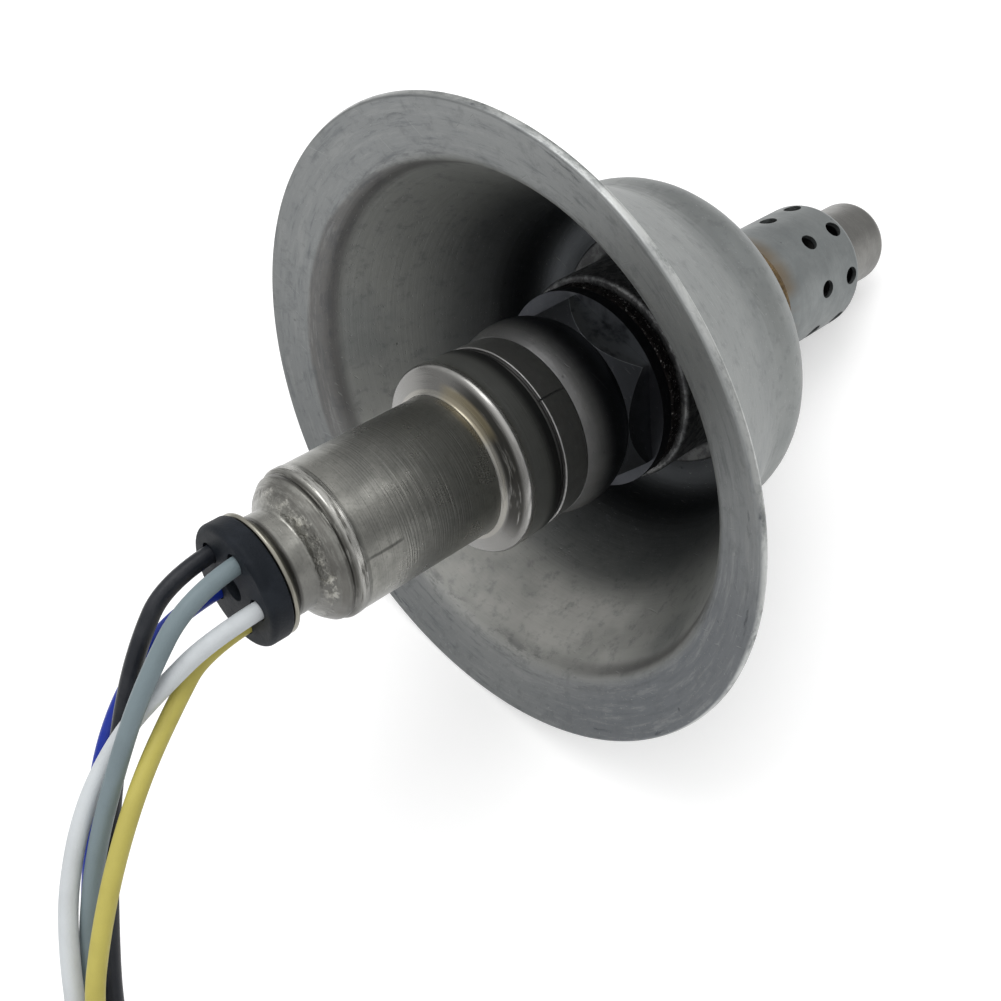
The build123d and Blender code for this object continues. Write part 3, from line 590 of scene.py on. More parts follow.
# %% Tree: row of holes round a wall
hole_tree, given = geometry_tree("row of holes", [
    ("Count", "Int", 8), ("Turn", "Float", 0.0), ("Station", "Float", 0.0), ("Reach", "Float", 0.009),
    ("Hole Radius", "Float", 0.001)])
ring = put(hole_tree, "GeometryNodeMeshCircle", Vertices=given["Count"], Radius=given["Reach"])
lift = joined(0.0, 0.0, given["Station"])
lean = joined(0.0, 0.0, given["Turn"])
ring = put(hole_tree, "GeometryNodeTransform", ring, Translation=lift, Rotation=lean)
outward = vector("SUBTRACT", put(hole_tree, "GeometryNodeInputPosition"), lift)
facing = put(hole_tree, "FunctionNodeAlignRotationToVector", Vector=outward)
PIN_LENGTH = 0.004
pin = put(hole_tree, "GeometryNodeMeshCylinder", Vertices=32, Radius=given["Hole Radius"], Depth=PIN_LENGTH)
pins = put(hole_tree, "GeometryNodeInstanceOnPoints", ring, Instance=pin.outputs["Mesh"], Rotation=facing)
take_away(hole_tree, given, pins)

# %% [markdown]
# The third tree bores holes along the axis, for the wires in the grommet. A bore may open a
# little towards the face, as rubber does round a wire.

# %% Tree: ring of bores along the axis
bore_tree, given = geometry_tree("ring of bores", [
    ("Count", "Int", 5), ("Ring Radius", "Float", 0.0044), ("Turn", "Float", 0.0), ("Low", "Float", 0.0),
    ("High", "Float", 0.001), ("Low Radius", "Float", 0.001), ("High Radius", "Float", 0.001)])
ring = put(bore_tree, "GeometryNodeMeshCircle", Vertices=given["Count"], Radius=given["Ring Radius"])
ring = put(bore_tree, "GeometryNodeTransform", ring, Translation=joined(0.0, 0.0, given["Low"]),
           Rotation=joined(0.0, 0.0, given["Turn"]))
drill = put(bore_tree, "GeometryNodeMeshCone", Vertices=40, Radius_Top=given["High Radius"],
            Radius_Bottom=given["Low Radius"], Depth=maths("SUBTRACT", given["High"], given["Low"]))
drills = put(bore_tree, "GeometryNodeInstanceOnPoints", ring, Instance=drill.outputs["Mesh"])
take_away(bore_tree, given, drills)

# %% [markdown]
# A piece is made upright in its own frame, with the sensor's axis as Z. Then its mesh is laid
# over into the tilted place it has in the CAD model, while its object stays at the origin.

# %% Making one round piece
AXIS_FRAME = Matrix.Translation(RIM_CENTRE) @ Matrix((UPPER, ACROSS, ALONG)).transposed().to_4x4()


def run_tree(piece, tree, **sizes):
    """Add a tree to a piece as a modifier and set its inputs by the sockets' identifiers."""
    modifier = piece.modifiers.new(tree.name, "NODES")
    modifier.node_group = tree
    for item in tree.interface.items_tree:
        key = item.name.replace(" ", "_")
        if item.in_out == "INPUT" and key in sizes:
            modifier[item.identifier] = sizes[key]


def make_plain(piece):
    """Turn the trees' result into the piece's own mesh and take the modifiers off."""
    bpy.context.view_layer.update()
    solid = bpy.data.meshes.new_from_object(piece.evaluated_get(bpy.context.evaluated_depsgraph_get()))
    piece.modifiers.clear()
    piece.data = solid
    solid.name = piece.name
    return piece


def round_piece(name, points, finish, steps=128, trees=()):
    """Sweep an outline in mm, run further trees on it and return a plain mesh object."""
    data = bpy.data.meshes.new(name + " outline")
    loop = [(i, (i + 1) % len(points)) for i in range(len(points))]
    data.from_pydata([(p.x * MM, p.y * MM, 0) for p in points], loop, [])
    piece = new_object(name, data)
    run_tree(piece, sweep_tree, Steps=steps, Finish=finish)
    for tree, sizes in trees:
        run_tree(piece, tree, Finish=finish, **sizes)
    return make_plain(piece)


def close_up(piece, sharp=32):
    """Weld the mesh, point its faces outwards and smooth it up to an angle in degrees."""
    shape = bmesh.new()
    shape.from_mesh(piece.data)
    bmesh.ops.remove_doubles(shape, verts=shape.verts, dist=WELD_REACH)
    bmesh.ops.dissolve_degenerate(shape, edges=shape.edges, dist=WELD_REACH / 2)
    if shape.calc_volume(signed=True) < 0:
        bmesh.ops.reverse_faces(shape, faces=shape.faces)
    open_edges = sum(1 for e in shape.edges if not e.is_manifold)
    shape.to_mesh(piece.data)
    shape.free()
    piece.data.shade_smooth()
    piece.data.set_sharp_from_angle(angle=math.radians(sharp))
    print(piece.name, "faces", len(piece.data.polygons), "open edges", open_edges)


def lay_over(piece, node):
    """Put an upright piece in its tilted place and let it stand for its CAD node."""
    piece.data.transform(AXIS_FRAME)
    close_up(piece)
    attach(piece, "root")
    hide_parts(node)
    return piece


# %% [markdown]
# ## Bell-shaped shield
# The bell keeps road dirt and heat away. It is one pressed sheet, 1 mm thick: a flat lip, a
# cone and a cup. Deep inside it the steel darkens as painted shade, a dark band on the inner bend
# is painted shade, the up-facing lower inside has a pale dusty film with painted light on it, and
# the lip is darker on one side and lighter on another as painted shade and light. The outside is
# paler, and the rim has dark nicks from tools and a bright rubbed edge. All of these have a place
# on the sheet, so the finish first works out how far a point lies beyond the sheet's inner face,
# which is the drawn path: that tells the outside from the inside. Radius and station tell the rest.

# %% Bell finish
BELL_PATH = [(9.3, -35.0, 0), (21.9, -35.0, 4.5), (21.9, -26.8, 9.0), (32.7, -3.1, 2.5), (39.7, 0.0, 0)]
bell_finish = steel("bell steel", (0.255, 0.262, 0.256), (0.165, 0.174, 0.176), 0.38, 0.50, cloud_size=8.0,
                    lines=1.6)
radius, station, ring = bell_finish.radius, bell_finish.station, bell_finish.ring
mark = bell_finish.mark


def past(start, end):
    """Distance in mm beyond the line through two points of the bell's section, square to it."""
    heading = (Vector(end) - Vector(start)).normalized()
    aside = times(maths("SUBTRACT", radius, start[0]), heading.y)
    return maths("MULTIPLY_ADD", maths("SUBTRACT", station, start[1]), -heading.x, aside)


base, foot, waist, bend, rim = [corner[:2] for corner in BELL_PATH]
curve = BELL_PATH[1][2]
centre = (foot[0] - curve, foot[1] + curve)
around = [maths("POWER", maths("MAXIMUM", reach, 0.0), 2.0)
          for reach in (maths("SUBTRACT", radius, centre[0]), maths("SUBTRACT", centre[1], station))]
beyond = maths("SUBTRACT", maths("SQRT", maths("ADD", *around)), curve)
for start, end in ((waist, bend), (bend, rim)):
    beyond = maths("MINIMUM", beyond, past(start, end))
outside = ramp(maths("MAXIMUM", beyond, past(base, foot)), 0.35, 0.65)
inside = maths("SUBTRACT", 1.0, outside)
mark((0.245, 0.257, 0.252), 0.46, outside, 0.75)
mark((0.375, 0.380, 0.362), 0.62, inside, 0.75)
film = grain(bell_finish.place, 0.06, 4.0, 0.6)
mark((0.175, 0.188, 0.190), 0.5, ramp(film, 0.46, 0.62), 0.40)
lip = times(inside, ramp(radius, 32.2, 33.8))
mark((0.205, 0.214, 0.217), 0.44, lip, 0.85)
# The lip is darker on one side as painted shade and lighter on another as painted light.
mark((0.125, 0.134, 0.146), 0.48, lip, ramp(towards(ring, -0.26, -0.966), 0.45, 0.95), 0.75)
mark((0.30, 0.31, 0.31), 0.5, lip, ramp(towards(ring, 0.82, -0.57), 0.55, 0.95), 0.6)

# %% Painted light and shade inside the bell, with dust, scratches and pits
bottom = towards(ring, -0.99, 0.10)
# The lower inside faces up: a pale, less metallic dusty film there also carries painted light.
dust_and_painted_light = times(ramp(bottom, 0.35, 0.85), between(station, -15.0, -4.2, 3.0), inside, ramp(film, 0.20, 0.60))
mark((0.56, 0.555, 0.525), 0.7, dust_and_painted_light)
# A dark band on the inside of the bend from lip to cone, away from the bottom: painted shade.
limit = scaled(towards(ring, -0.57, 0.82), -0.2, 1.0, 32.6, 35.3)
bent = ramp(maths("SUBTRACT", maths("MULTIPLY_ADD", film, 1.2, limit), radius), 0.5, 1.1)
mark((0.180, 0.178, 0.174), 0.6, bent, inside, ramp(station, -6.0, -4.4), ramp(bottom, 0.95, 0.45))
# Deeper in, towards the cup, the inside darkens in two steps: painted shade.
mark((0.135, 0.142, 0.147), 0.5, inside, ramp(station, -13.0, -24.0), 0.75)
mark((0.082, 0.088, 0.097), 0.5, inside, ramp(station, -22.0, -30.0), 0.75)
mark((0.36, 0.37, 0.36), 0.35, bell_finish.wear["Scratch"], 0.30)
mark((0.055, 0.060, 0.062), 0.6, bell_finish.wear["Pit"], 0.55)

# %% Nicks along the rim
nick = round_grain(ring, 3.4, radius, 0.55, 7.0, 0.74)
near_rim = times(ramp(radius, 37.0, 39.0), ramp(nick, 0.585, 0.65))
mark((0.070, 0.078, 0.090), 0.55, near_rim, 0.70)
mark((0.100, 0.103, 0.108), 0.5, between(radius, 32.0, 34.0, 0.5), ramp(nick, 0.50, 0.60), 0.50)
swept = round_grain(ring, 5.0, radius, 1.4, 6.0, 0.72)
mark((0.300, 0.306, 0.300), 0.42, lip, ramp(swept, 0.50, 0.64), 0.35)
mark((0.120, 0.130, 0.138), 0.5, lip, ramp(swept, 0.46, 0.36), 0.45)
mottle = grain(bell_finish.place, 0.55, 5.0, 0.7)
mark((0.120, 0.127, 0.132), 0.52, ramp(mottle, 0.50, 0.70), 0.36)
mark((0.52, 0.53, 0.52), 0.28, ramp(radius, 39.62, 39.95), ramp(nick, 0.60, 0.45), 0.8)
feed(bell_finish.shader.inputs["Metallic"], scaled(dust_and_painted_light, 0.0, 1.0, 1.0, 0.25))
bell_steel = bell_finish.done(0.05, maths("SUBTRACT", bell_finish.wear["Height"], times(near_rim, 0.8)))

# %% Bell
bell = round_piece("bell", outline(sheet(BELL_PATH, thickness=1.0, end_round=0.3)), bell_steel, steps=240)
lay_over(bell, "bell_shield")

# %% [markdown]
# ## Casing
# The casing is drawn from a thin tube. Its skirt is crimped over the shell's collar, and its
# neck is squeezed round the grommet, which leaves a rough, bright edge with small dents; that
# edge is shown bright mostly where the highlight falls, as painted highlight. The outline gives
# the smooth form, and small moves of its points press the dents in.

# %% Casing finish
casing_finish = steel("casing steel", (0.340, 0.336, 0.310), (0.190, 0.190, 0.176), 0.24, 0.36,
                      cloud_size=4.0, lines=5.0, seed=4.0)
t, radius, ring = casing_finish.station, casing_finish.radius, casing_finish.ring
mark = casing_finish.mark
fine = ramp(grain(casing_finish.place, 3.2, 2.0), 0.50, 0.72)
mark((0.130, 0.132, 0.122), 0.38, fine, 0.30)
mark((0.260, 0.264, 0.254), 0.44, ramp(t, 2.1, 1.3), 0.92)
# The skirt's curled end turns near black: painted shade in the groove against the ring.
mark((0.026, 0.027, 0.027), 0.50, ramp(t, -0.3, -2.0), 0.92)

# %% Shoulder of the casing
smudge = round_grain(ring, 2.0, radius, 1.7, 4.0, 0.6)
shoulder = between(t, 2.0, 4.1, 0.2)
mark((0.215, 0.212, 0.204), 0.24, shoulder, 0.9)
# One side of the shoulder is darker in smudgy patches.
side_dark_patches = ramp(towards(ring, 0.60, -0.80), 0.35, 0.80)
side_dark_patches = times(side_dark_patches, between(radius, 9.6, 11.4, 0.3), ramp(smudge, 0.32, 0.46))
mark((0.030, 0.029, 0.026), 0.34, side_dark_patches, shoulder, 0.9)
mark((0.40, 0.385, 0.34), 0.24, between(radius, 8.95, 9.5, 0.1), between(t, 3.0, 4.3, 0.2), 0.45)
# A narrow warm stripe on the side facing the lamp over the bell: painted highlight.
painted_warm_highlight = times(ramp(towards(ring, 0.98, -0.2), 0.86, 0.96), between(radius, 8.8, 10.4, 0.3))
mark((0.36, 0.31, 0.20), 0.24, painted_warm_highlight, between(t, 3.0, 4.8, 0.3), 0.55)
upper_edge = times(ramp(radius, 11.5, 11.9), between(t, 1.7, 2.9, 0.3))
mark((0.46, 0.455, 0.44), 0.20, upper_edge, ramp(smudge, 0.35, 0.6), 0.6)

# %% Neck of the casing
streak = round_grain(ring, 2.5, t, 3.0, 4.0, 0.65)
# The next weight keeps the bead's and crimp edge's painted highlights to the side where the light falls.
highlight_side = scaled(towards(ring, 0.87, -0.50), 0.25, 0.80, 0.2, 1.0)
# The neck is darker on its underside: painted shade.
under = ramp(towards(ring, -0.26, -0.966), 0.45, 0.95)
mark((0.125, 0.124, 0.118), 0.40, under, ramp(t, 22.6, 23.2), 0.65)
# The bead is painted bright on that side: painted highlight.
bead = times(between(t, 23.0, 24.1, 0.25), ramp(streak, 0.38, 0.60))
mark((0.52, 0.515, 0.49), 0.20, bead, highlight_side, 0.75)
# Dark in the groove behind the bead, as painted shade, and in dark streaks beside the bead.
groove = times(between(t, 24.25, 25.1, 0.15), ramp(streak, 0.66, 0.50))
beside_bead = times(between(t, 22.9, 25.3, 0.2), ramp(streak, 0.48, 0.38))
mark((0.060, 0.058, 0.052), 0.36, maths("MAXIMUM", groove, times(beside_bead, 0.8)), 0.85)
rub = grain(casing_finish.place, 1.0, 4.0, 0.62)
# The crimp edge is rubbed bright, mostly on the side where the highlight falls: real wear with a painted
# highlight.
pressed = between(maths("MULTIPLY_ADD", maths("SUBTRACT", rub, 0.5), 1.6, t), 26.35, 27.10, 0.2)
mark((0.56, 0.55, 0.50), 0.26, pressed, highlight_side, ramp(rub, 0.46, 0.62))
mark((0.130, 0.126, 0.116), 0.34, between(t, 25.3, 26.7, 0.4), ramp(streak, 0.60, 0.45), 0.65)
mark((0.060, 0.058, 0.054), 0.4, between(t, 29.35, 30.35, 0.15), 0.75)
mark((0.33, 0.315, 0.26), 0.28, ramp(t, 30.3, 30.6), 0.7)

# %% One long scratch down the barrel
SCRATCH_TURN = math.radians(-67)
aside = towards(ring, -math.sin(SCRATCH_TURN), math.cos(SCRATCH_TURN))
facing = towards(ring, math.cos(SCRATCH_TURN), math.sin(SCRATCH_TURN))
wobble = maths("SUBTRACT", grain(casing_finish.place, 0.4, 3.0), 0.5)
aside = maths("MULTIPLY_ADD", wobble, 0.06, aside)
scratch = times(between(aside, -0.018, 0.018, 0.012), between(t, 18.0, 22.6, 0.6), ramp(facing, 0.5, 0.7))
mark((0.045, 0.045, 0.042), 0.45, scratch, 0.6)
casing_steel = casing_finish.done(0.03, maths("ADD", casing_finish.wear["Line"], times(pressed, rub, 3.0)))

# %% Casing
CASING_PATH = [(7.2, 30.8, 0), (5.95, 29.75, 0.5), (5.95, 27.35, 0.35), (7.8, 26.05, 1.3), (8.70, 24.95, 0.5),
               (8.45, 24.5, 0.25), (8.98, 24.05, 0.4), (8.98, 23.15, 0.4), (8.9, 22.6, 0.5), (8.9, 3.9, 0.4),
               (12.0, 2.6, 0.9), (11.8, -2.8, 0)]
points = outline(sheet(CASING_PATH, thickness=0.65, end_round=0.28), longest=0.7)
casing = round_piece("casing_tube", points, casing_steel, steps=192)

# %% Dents in the neck
# Each dent has a turn, a station, a size and a depth.
CRIMP_LOW, CRIMP_HIGH, CRIMP_DEEP = 25.2, 28.7, 0.10
DENTS = [(-52.0, 25.9, 0.8, 0.12), (-38.0, 26.7, 0.5, 0.08), (-110.0, 25.7, 0.7, 0.10),
         (-28.0, 25.2, 0.5, 0.08), (20.0, 26.5, 0.7, 0.08), (100.0, 26.0, 0.8, 0.10),
         (165.0, 26.5, 0.6, 0.10)]
for vertex in casing.data.vertices:
    x, y, z = vertex.co / MM
    radius, turn = math.hypot(x, y), math.degrees(math.atan2(y, x))
    push = 0.0
    if CRIMP_LOW < z < CRIMP_HIGH:
        depth = CRIMP_DEEP * math.sin(math.pi * (z - CRIMP_LOW) / (CRIMP_HIGH - CRIMP_LOW))
        push -= depth * abs(noise.noise(Vector((x, y, z * 2.0)) * 1.1))
    for angle, station, size, deep in DENTS:
        apart = math.hypot(math.radians((turn - angle + 180) % 360 - 180) * radius, z - station)
        push -= deep * math.exp(-(apart / size) ** 2)
    vertex.co.x, vertex.co.y = vertex.co.x * (1 + push / radius), vertex.co.y * (1 + push / radius)
lay_over(casing, "casing")

# %% [markdown]
# ## Grommet
# The grommet is moulded rubber with a round head. Five bores in a ring hold the wires, and the
# one in the middle lets air in to the sensor. The ring of bores repeats, so the bore tree cuts
# it: narrow bores that open a little at the face, and wider ones further in for the ferrules.

# %% Grommet
rubber = plastic("grommet rubber", (0.006, 0.0085, 0.0125), (0.060, 0.068, 0.082), 0.55, size=0.8, share=0.12,
                 smear=0.20, shine=0.16)
grommet_rubber = rubber.done(0.05)
GROMMET = [(0, 21.0, 0), (8.2, 21.0, 0.5), (8.2, 24.1, 4.0), (5.1, 26.6, 0), (5.1, 29.85, 0),
           (6.6, 31.3, 0.1), (7.15, 31.3, 0.3), (7.15, GROMMET_FACE, 0.7), (0, GROMMET_FACE, 0)]
first_bore = math.radians(WIRE_TURN["black"])
# Each row has its count, its ring's radius and turn, its two stations and the radius at each.
BORES = [(5, 3.6, first_bore, 20.0, 30.5, 1.35, 1.35), (5, WIRE_RING, first_bore, 30.4, 34.2, 1.02, 1.22),
         (3, 0.0, 0.0, 20.0, 34.2, 1.45, 1.50)]
cuts = [(bore_tree, {"Count": count, "Ring_Radius": ring_radius * MM, "Turn": turn, "Low": low * MM,
                     "High": high * MM, "Low_Radius": inner * MM, "High_Radius": outer * MM})
        for count, ring_radius, turn, low, high, inner, outer in BORES]
grommet = round_piece("wire_grommet", outline(GROMMET), grommet_rubber, steps=120, trees=cuts)
lay_over(grommet, "grommet")

# %% [markdown]
# ## Perforated tube
# Exhaust gas gets to the sensor through two rows of eight holes, punched in the outer tube from
# outside. The steel has a grey film from the heat, brown near the weld.

# %% Finish of the tubes
tube_finish = steel("perforated tube steel", (0.240, 0.254, 0.252), (0.172, 0.185, 0.187), 0.42, 0.54,
                    cloud_size=5.0, lines=2.0, seed=7.0)
heat = ramp(grain(tube_finish.ring, 1.6, 2.0), 0.40, 0.62)
tube_finish.mark((0.175, 0.115, 0.050), 0.4, ramp(tube_finish.station, -53.5, -50.2), heat, 0.65)
tube_finish.mark((0.06, 0.065, 0.068), 0.6, tube_finish.wear["Pit"], 0.5)
# The tube's inner face is near black: painted shade inside the tube.
tube_finish.mark((0.022, 0.022, 0.024), 0.8, ramp(tube_finish.radius, 8.7, 8.4))
tube_steel = tube_finish.done(0.04)
tip_finish = steel("inner tube steel", (0.205, 0.203, 0.192), (0.140, 0.138, 0.130), 0.26, 0.40,
                   cloud_size=4.0, lines=3.0, seed=9.0)
# Where the inner tube lies inside the outer one it is near black: painted shade.
tip_finish.mark((0.030, 0.029, 0.028), 0.75, ramp(tip_finish.station, -66.0, -64.0), 0.85)
tip_steel = tip_finish.done(0.03)

# %% Outer and inner tube
TUBE_PATH = [(9.06, -50.0, 0), (9.06, -67.2, 1.2), (6.1, -67.2, 0)]
TIP_PATH = [(6.95, -32.5, 0), (6.0, -32.5, 0.3), (6.0, -78.5, 1.2), (1.5, -78.5, 0)]
EIGHTH = math.pi / 4


def hole_row(turn, station, reach, hole):
    """One row of eight holes, with its sizes in mm."""
    return hole_tree, {"Count": 8, "Turn": turn, "Station": station * MM, "Reach": reach * MM,
                       "Hole_Radius": hole * MM}


rows = [hole_row(EIGHTH / 2, station, 8.7, 1.2) for station in (-59.0, -64.7)]
points = outline(sheet(TUBE_PATH, thickness=0.7, end_round=0))
outer_tube = round_piece("outer_tube", points, tube_steel, steps=128, trees=rows)
lay_over(outer_tube, "outer_protector")
rows = [hole_row(0.0, -58.0, 5.75, 0.9)]
points = outline(sheet(TIP_PATH, thickness=0.5, end_round=0))
inner_tube = round_piece("inner_tube", points, tip_steel, steps=112, trees=rows)
lay_over(inner_tube, "inner_protector")

# %% [markdown]
# ## Gasket
# The gasket between hexagon and boss is a folded sheet ring that was squeezed and has rusted,
# so nothing on it is smooth. The sweep gives the ring, and its points are then moved by noise,
# only inwards, so that it stays between the two faces that squeeze it.

# %% Gasket
gasket_finish = steel("gasket steel", (0.060, 0.052, 0.050), (0.008, 0.008, 0.009), 0.40, 0.70,
                      cloud_size=0.8, lines=2.5, seed=12.0)
spark = ramp(grain(gasket_finish.place, 2.4, 3.0, 0.7), 0.59, 0.65)
gasket_finish.mark((0.50, 0.49, 0.48), 0.25, spark, 0.85)
gasket_steel = gasket_finish.done(0.12)
GASKET = [(9.2, -20.4, 0.4), (13.1, -20.4, 0.7), (13.1, -22.5, 0.7), (9.2, -22.5, 0.4)]
SQUEEZED, SQUEEZE_START, SQUEEZE_RUN = 0.35, 11.0, 1.5
gasket = round_piece("squeezed_gasket", outline(GASKET, longest=0.5), gasket_steel, steps=240)
for vertex in gasket.data.vertices:
    x, y, z = vertex.co / MM
    radius = math.hypot(x, y)
    lump = 0.5 + 0.5 * noise.noise(Vector((x, y, z)) * 1.1) + 0.25 * noise.noise(Vector((x, y, z)) * 3.1)
    share = max(0.0, min(1.0, (radius - SQUEEZE_START) / SQUEEZE_RUN))
    shrink = 1 - SQUEEZED * share * max(0.0, lump) / radius
    vertex.co.x, vertex.co.y = vertex.co.x * shrink, vertex.co.y * shrink
lay_over(gasket, "crush_gasket")

# %% [markdown]
# ## Boss, shell and ring
# These turned pieces have the right shape in the CAD model already, so they only need their
# finish. The shell darkens from the bulge towards the hexagon as painted shade, and the
# hexagon's upper flat is paler in patches as painted light.

# %% Dark shell
shell_finish = steel("shell steel", (0.260, 0.258, 0.256), (0.170, 0.170, 0.172), 0.38, 0.50, cloud_size=5.0,
                     lines=3.0, seed=15.0)
t, ring = shell_finish.station, shell_finish.ring
mark = shell_finish.mark
# The shell turns near black from the bulge towards the hexagon: painted shade.
mark((0.045, 0.048, 0.056), 0.42, ramp(t, -8.3, -11.4), 0.94)
SIXTH, HEXAGON_TURN, HEXAGON_REACH = math.pi / 3, math.radians(13.2), 11.0
across = parts(ring)
turn = maths("ADD", maths("ARCTAN2", across[1], across[0]), HEXAGON_TURN + SIXTH / 2)
turn = maths("SUBTRACT", maths("FLOORED_MODULO", turn, SIXTH), SIXTH / 2)
reach = times(maths("COSINE", turn), shell_finish.radius)
flats = times(ramp(reach, HEXAGON_REACH - 0.05, HEXAGON_REACH - 0.015), between(t, -18.9, -14.9, 0.1))
# The hexagon flat that faces up is paler in patches: painted light.
upward = scaled(towards(ring, 0.974, -0.225), 0.82, 0.88, 0.12, 1.0)
flat_light_patches = ramp(grain(shell_finish.place, 0.30, 5.0, 0.65), 0.30, 0.55)
mark((0.250, 0.262, 0.275), 0.50, flats, upward, flat_light_patches, 0.85)
mark((0.200, 0.198, 0.190), 0.35, ramp(t, -20.5, -21.5), 0.9)
mark((0.17, 0.17, 0.17), 0.3, shell_finish.wear["Scratch"], 0.20)
mark((0.012, 0.012, 0.014), 0.6, shell_finish.wear["Pit"], 0.4)
dress("sensor_shell", shell_finish.done(0.04))
ring_finish = steel("split ring steel", (0.360, 0.358, 0.350), (0.230, 0.230, 0.226), 0.34, 0.46,
                    cloud_size=3.0, seed=17.0)
ring_finish.mark((0.46, 0.45, 0.44), 0.25, ring_finish.wear["Scratch"], 0.3)
dress("seam_ring", ring_finish.done(0.02))

# %% Boss and welds
boss_finish = steel("boss steel", (0.270, 0.272, 0.270), (0.150, 0.154, 0.158), 0.50, 0.62, cloud_size=4.0,
                    lines=3.0, seed=19.0)
boss_finish.mark((0.120, 0.122, 0.124), 0.5, ramp(boss_finish.radius, 13.4, 15.5), 0.4)
crust = ramp(grain(boss_finish.place, 0.8, 6.0, 0.75), 0.44, 0.56)
boss_finish.mark((0.055, 0.055, 0.058), 0.65, crust, ramp(boss_finish.station, -36.0, -31.0), 0.7)
boss_finish.mark((0.03, 0.03, 0.03), 0.6, boss_finish.wear["Pit"], 0.5)
dress("threaded_boss", boss_finish.done(0.04))
for name, clean, dull, seed in (("boss_weld", (0.150, 0.140, 0.125), (0.060, 0.055, 0.052), 21.0),
                                ("tube_weld", (0.190, 0.135, 0.070), (0.090, 0.062, 0.036), 23.0)):
    weld = steel(name.replace("_", " "), clean, dull, 0.34, 0.55, cloud_size=2.0, lines=2.0, seed=seed)
    ripple = grain(weld.ring, 26.0, 1.0)
    weld.mark(dull, 0.5, ramp(ripple, 0.50, 0.62), 0.5)
    dress(name, weld.done(0.10, maths("ADD", weld.wear["Height"], ripple)))
print("turned pieces dressed")

# %% [markdown]
# ## Inside the sensor
# The inner pieces are hidden, but a cut view shows them, so each gets what it is made of:
# ceramic for element, holder and insulators, pressed talc, sprung alloy and brass.

# %% Ceramic, talc and filter
POWDERS = {
    "sensing_element": ("element ceramic", (0.58, 0.57, 0.54), (0.20, 0.19, 0.18), 0.55),
    "element_holder": ("holder ceramic", (0.52, 0.49, 0.42), (0.25, 0.22, 0.17), 0.60),
    "upper_insulator": ("insulator ceramic", (0.54, 0.51, 0.45), (0.27, 0.24, 0.19), 0.60),
    "contact_holder": ("contact holder ceramic", (0.50, 0.48, 0.43), (0.24, 0.22, 0.18), 0.60),
    "talc_packing": ("pressed talc", (0.36, 0.38, 0.34), (0.18, 0.19, 0.16), 0.90),
    "vent_filter": ("vent filter", (0.66, 0.66, 0.64), (0.35, 0.34, 0.32), 0.80),
}
for seed, (name, look) in enumerate(POWDERS.items()):
    body = plastic(*look, size=0.6, share=0.15, seed=30 + seed * 2.3, smear=0.30)
    dress(name, body.done(0.03))

# %% Washer, clip, contacts and ferrules
SMALL_METALS = {
    "packing_washer": ("washer steel", (0.34, 0.34, 0.33), (0.19, 0.19, 0.18)),
    "holder_clip": ("clip steel", (0.38, 0.38, 0.37), (0.24, 0.24, 0.23)),
    "contact_springs": ("contact alloy", (0.47, 0.43, 0.34), (0.30, 0.27, 0.21)),
    "wire_ferrules": ("ferrule brass", (0.50, 0.38, 0.17), (0.30, 0.22, 0.10)),
}
for seed, (name, (label, clean, dull)) in enumerate(SMALL_METALS.items()):
    metal = steel(label, clean, dull, 0.25, 0.40, cloud_size=2.5, lines=4.0, seed=45 + seed * 3.1)
    metal.mark(dull, 0.5, metal.wear["Pit"], 0.4)
    dress(name, metal.done(0.02))
print("inner pieces dressed", len(POWDERS) + len(SMALL_METALS))

# %% [markdown]
# ## Sleeve
# Past the bundle the wires run in a braided sleeve. It could be a plain tube with a pattern,
# but a braid is felt as well as seen. A tree carries a circle along the cord's own smooth line
# and lifts each point where a strand passes over. The strands wind round in both directions,
# so the lift is a product of two waves, and both the shape and the colour use the same rule.

# %% Tree: braided tube along a line
STRANDS, PITCH = 12.0, 900.0


def weave_of(turn, run, strands, pitch):
    """The two ways that strands wind, as phases, and the product of their waves."""
    angle = times(maths("ARCTAN2", turn[1], turn[0]), strands)
    rise = times(run, pitch)
    one_way, other_way = maths("ADD", angle, rise), maths("SUBTRACT", angle, rise)
    return one_way, times(maths("COSINE", one_way), maths("COSINE", other_way))


braid_tree, given = geometry_tree("braided tube", [
    ("Radius", "Float", 0.0034), ("Relief", "Float", 0.0001), ("Strands", "Float", STRANDS),
    ("Pitch", "Float", PITCH), ("Steps", "Int", 96), ("Step Length", "Float", 0.0004)])
line = put(braid_tree, "GeometryNodeMeshToCurve", given["Geometry"])
line = put(braid_tree, "GeometryNodeResampleCurve", line, mode="LENGTH", Length=given["Step Length"])
along_line = put(braid_tree, "GeometryNodeCaptureAttribute", line)
along_line.capture_items.new("FLOAT", "Length")
feed(along_line.inputs[1], put(braid_tree, "GeometryNodeSplineParameter").outputs["Length"])
circle = put(braid_tree, "GeometryNodeCurvePrimitiveCircle", Resolution=given["Steps"],
             Radius=given["Radius"])
round_line = put(braid_tree, "GeometryNodeCaptureAttribute", circle.outputs["Curve"])
round_line.capture_items.new("VECTOR", "Turn")
feed(round_line.inputs[1], vector("NORMALIZE", put(braid_tree, "GeometryNodeInputPosition")))
tube = put(braid_tree, "GeometryNodeCurveToMesh", along_line.outputs[0], round_line.outputs[0])
tube.inputs["Fill Caps"].default_value = True
turn = parts(round_line.outputs[1])
wrap = joined(turn[0], turn[1], along_line.outputs[1])
kept = put(braid_tree, "GeometryNodeStoreNamedAttribute", tube, data_type="FLOAT_VECTOR", domain="POINT",
           Name="wrap", Value=wrap)
weave = weave_of(turn, along_line.outputs[1], given["Strands"], given["Pitch"])[1]
lift = put(braid_tree, "ShaderNodeVectorMath", put(braid_tree, "GeometryNodeInputNormal"),
           Scale=times(weave, given["Relief"]), operation="SCALE")
raised = put(braid_tree, "GeometryNodeSetPosition", kept, Offset=lift)
finish_tree(braid_tree, raised, given)

